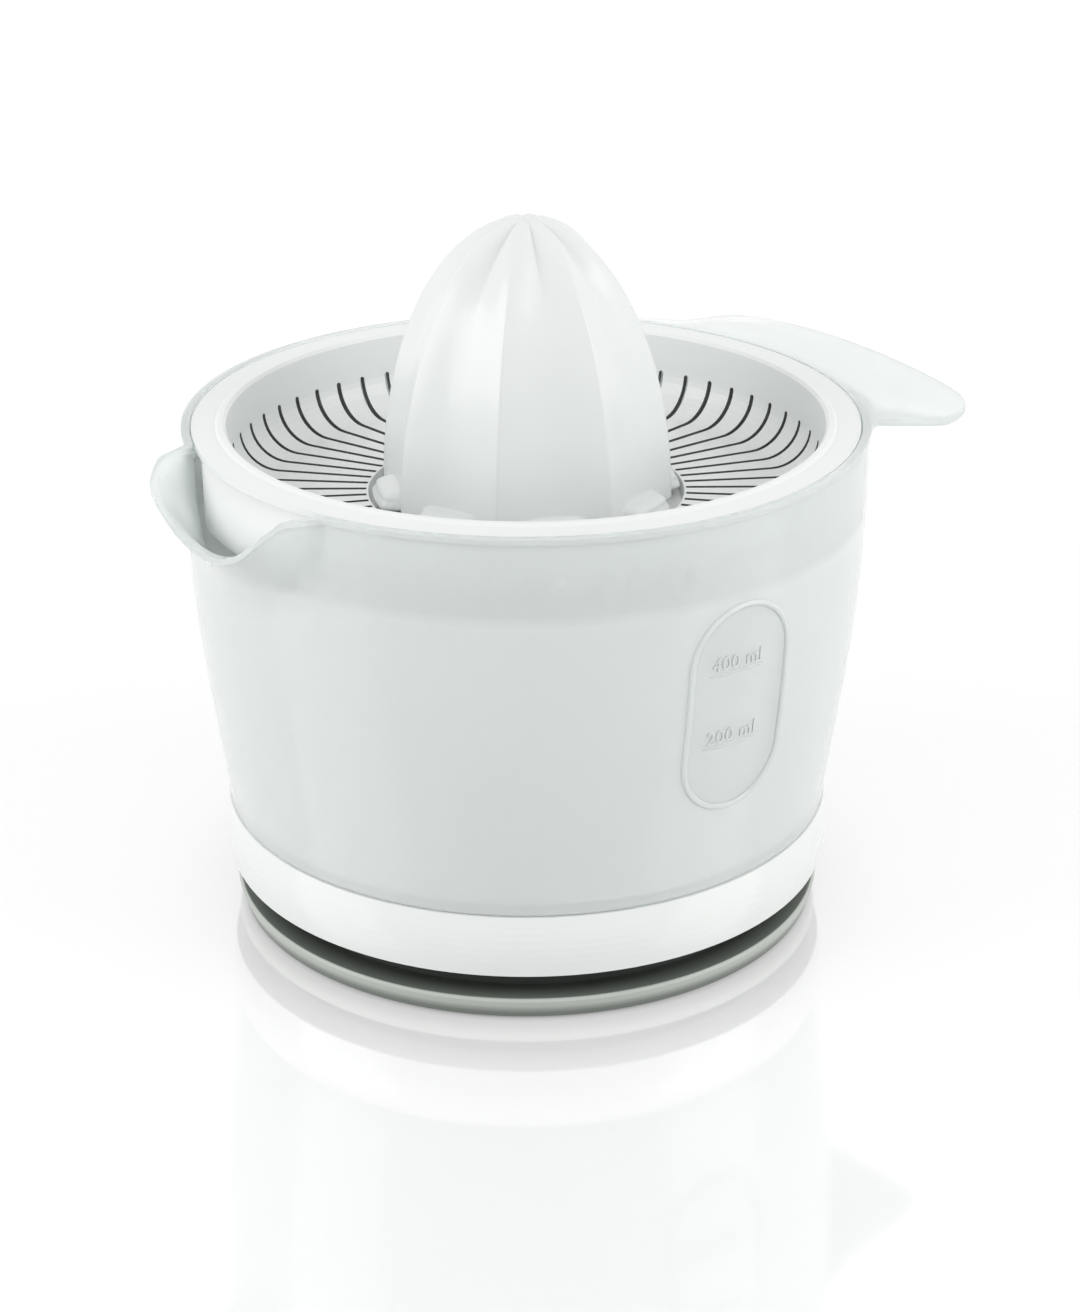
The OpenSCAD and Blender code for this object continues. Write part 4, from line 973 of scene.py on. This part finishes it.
LEVEL_PRINT = moulded("level_print", (0.68, 0.71, 0.70), 0.4)


# ---------- pieces on their bodies ----------

def finish_nodes():
    """Gives each CAD node the finish of its slot in the record."""
    slots = {part["node"]: part["material_slot"] for part in frame["record"]["subparts"]}
    for name, node in frame["nodes"].items():
        for place in node.material_slots:
            place.material = FINISHES[slots[name]]


def fit(piece, body, slot, replaced=None, finish=None):
    """Lets a piece ride on a body and stand for a CAD node, in its slot's finish or in one of its own."""
    piece.data.materials.append(finish or FINISHES[slot])
    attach(piece, body)
    if replaced:
        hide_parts(replaced)


def fit_spring():
    """The spring turns with the output gear, and has a mesh of its own."""
    spring = make_spring()
    fit(spring, "output_drive", "bright_steel", "return_spring")
    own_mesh(spring)


finish_nodes()
fit(make_jug(), "jug", "frosted_clear", "jug")
fit(make_bead(), "jug", "frosted_clear")
fit(make_cone(), "cone", "white_cone", "cone")
fit(make_socket(), "cone", "white_cone")
for web in range(WEBS):
    fit(make_web("cone_web_%d" % (web + 1), (web + 0.5) * 360 / WEBS), "cone", "white_cone")
fit(make_apron(), "sieve", "white_sieve", finish=APRON_WHITE)
fit_spring()
for mark_z, words in MARKS:
    number = words.split()[0]
    fit(make_mark_line("level_line_" + number, mark_z), "jug", "frosted_clear", finish=LEVEL_PRINT)
    fit(make_mark_text("level_number_" + number, words, mark_z), "jug", "frosted_clear", finish=LEVEL_PRINT)


# ---------- camera, floor and light ----------

CAMERA_PLACE = (-0.3786, -0.5117, 0.3424)
CAMERA_HEADING = -36.793
CAMERA_PITCH = 23.90
LENS_MM = 77.41
SENSOR_MM = 36
NEAR_CLIP_M = 0.01
FLOOR_HALF = 2500
FLOOR_GAP = 0.05
FLOOR_GREY = (0.6, 0.6, 0.6)
FLOOR_ROUGH = 0.07
FLOOR_IOR = 3.2
FLOOR_GLOW = 0.29
ROOM_LIGHT = 0.83
LAMPS = {"left_light": (-1.2, 0.39, 0.6), "right_light": (0.73, -1.03, 0.6)}
LAMP_AIM = (0, 0, 0.1)
LAMP_SIZE_M = 0.9
LAMP_WATTS = 6
DIFFUSE_BOUNCES = 12
TRANSMISSION_BOUNCES = 16
MOST_BOUNCES = 20


def aim(thing, place, direction):
    """Puts a camera or a lamp at a place, looking along a direction."""
    thing.location = place
    thing.rotation_mode = "QUATERNION"
    thing.rotation_quaternion = Vector(direction).to_track_quat("-Z", "Y")
    bpy.context.collection.objects.link(thing)


def place_camera():
    """The camera, turned by its heading from +Y and tipped down by its pitch."""
    camera = bpy.data.objects.new("camera", bpy.data.cameras.new("camera"))
    camera.data.lens = LENS_MM
    camera.data.sensor_width = SENSOR_MM
    camera.data.clip_start = NEAR_CLIP_M
    heading, pitch = np.radians((CAMERA_HEADING, CAMERA_PITCH))
    level = np.cos(pitch)
    aim(camera, CAMERA_PLACE, (-np.sin(heading) * level, np.cos(heading) * level, -np.sin(pitch)))
    bpy.context.scene.camera = camera


def seen_rays(tree):
    """1 for the rays of the camera, of reflections and of light that has passed through something, and
    0 for those that light the object."""
    rays = tree.nodes.new("ShaderNodeLightPath")
    passed = math_node(tree, "MAXIMUM", rays.outputs["Is Glossy Ray"], rays.outputs["Is Transmission Ray"])
    return math_node(tree, "MAXIMUM", rays.outputs["Is Camera Ray"], passed)


def make_floor():
    """A wide flat floor: a square grid of points just under the feet."""
    side = np.linspace(-FLOOR_HALF, FLOOR_HALF, 3)
    x, y = np.meshgrid(side, side)
    floor = grid_piece("floor", np.stack([x, y, np.full_like(x, -FLOOR_GAP)], -1), close_columns=False)
    made, tree, shader = material("floor_white")
    shader.inputs["Base Color"].default_value = (*FLOOR_GREY, 1)
    shader.inputs["Roughness"].default_value = FLOOR_ROUGH
    shader.inputs["IOR"].default_value = FLOOR_IOR
    shader.inputs["Emission Color"].default_value = (1, 1, 1, 1)
    glow = math_node(tree, "MULTIPLY", seen_rays(tree), FLOOR_GLOW)
    tree.links.new(glow, shader.inputs["Emission Strength"])
    floor.data.materials.append(made)


def make_world():
    """Even pale light from all round, with a white background behind the object."""
    world = bpy.data.worlds.new("studio")
    bpy.context.scene.world = world
    world.use_nodes = True
    tree = world.node_tree
    tree.nodes.clear()
    back = tree.nodes.new("ShaderNodeBackground")
    back.inputs["Color"].default_value = (1, 1, 1, 1)
    tree.links.new(ranged(tree, seen_rays(tree), ROOM_LIGHT, 1, 0, 1), back.inputs["Strength"])
    out = tree.nodes.new("ShaderNodeOutputWorld")
    tree.links.new(back.outputs["Background"], out.inputs["Surface"])


def make_lamps():
    """Two square soft lamps, on the left and on the right, aimed at the object's middle."""
    for name, place in LAMPS.items():
        lamp = bpy.data.objects.new(name, bpy.data.lights.new(name, "AREA"))
        lamp.data.size = LAMP_SIZE_M
        lamp.data.energy = LAMP_WATTS
        aim(lamp, place, Vector(LAMP_AIM) - Vector(place))


place_camera()
make_floor()
make_world()
make_lamps()

# The milky walls need more bounces than the default, or the light inside them is cut off
scene = bpy.context.scene
scene.view_settings.view_transform = "Standard"
scene.cycles.diffuse_bounces = DIFFUSE_BOUNCES
scene.cycles.transmission_bounces = TRANSMISSION_BOUNCES
scene.cycles.max_bounces = MOST_BOUNCES
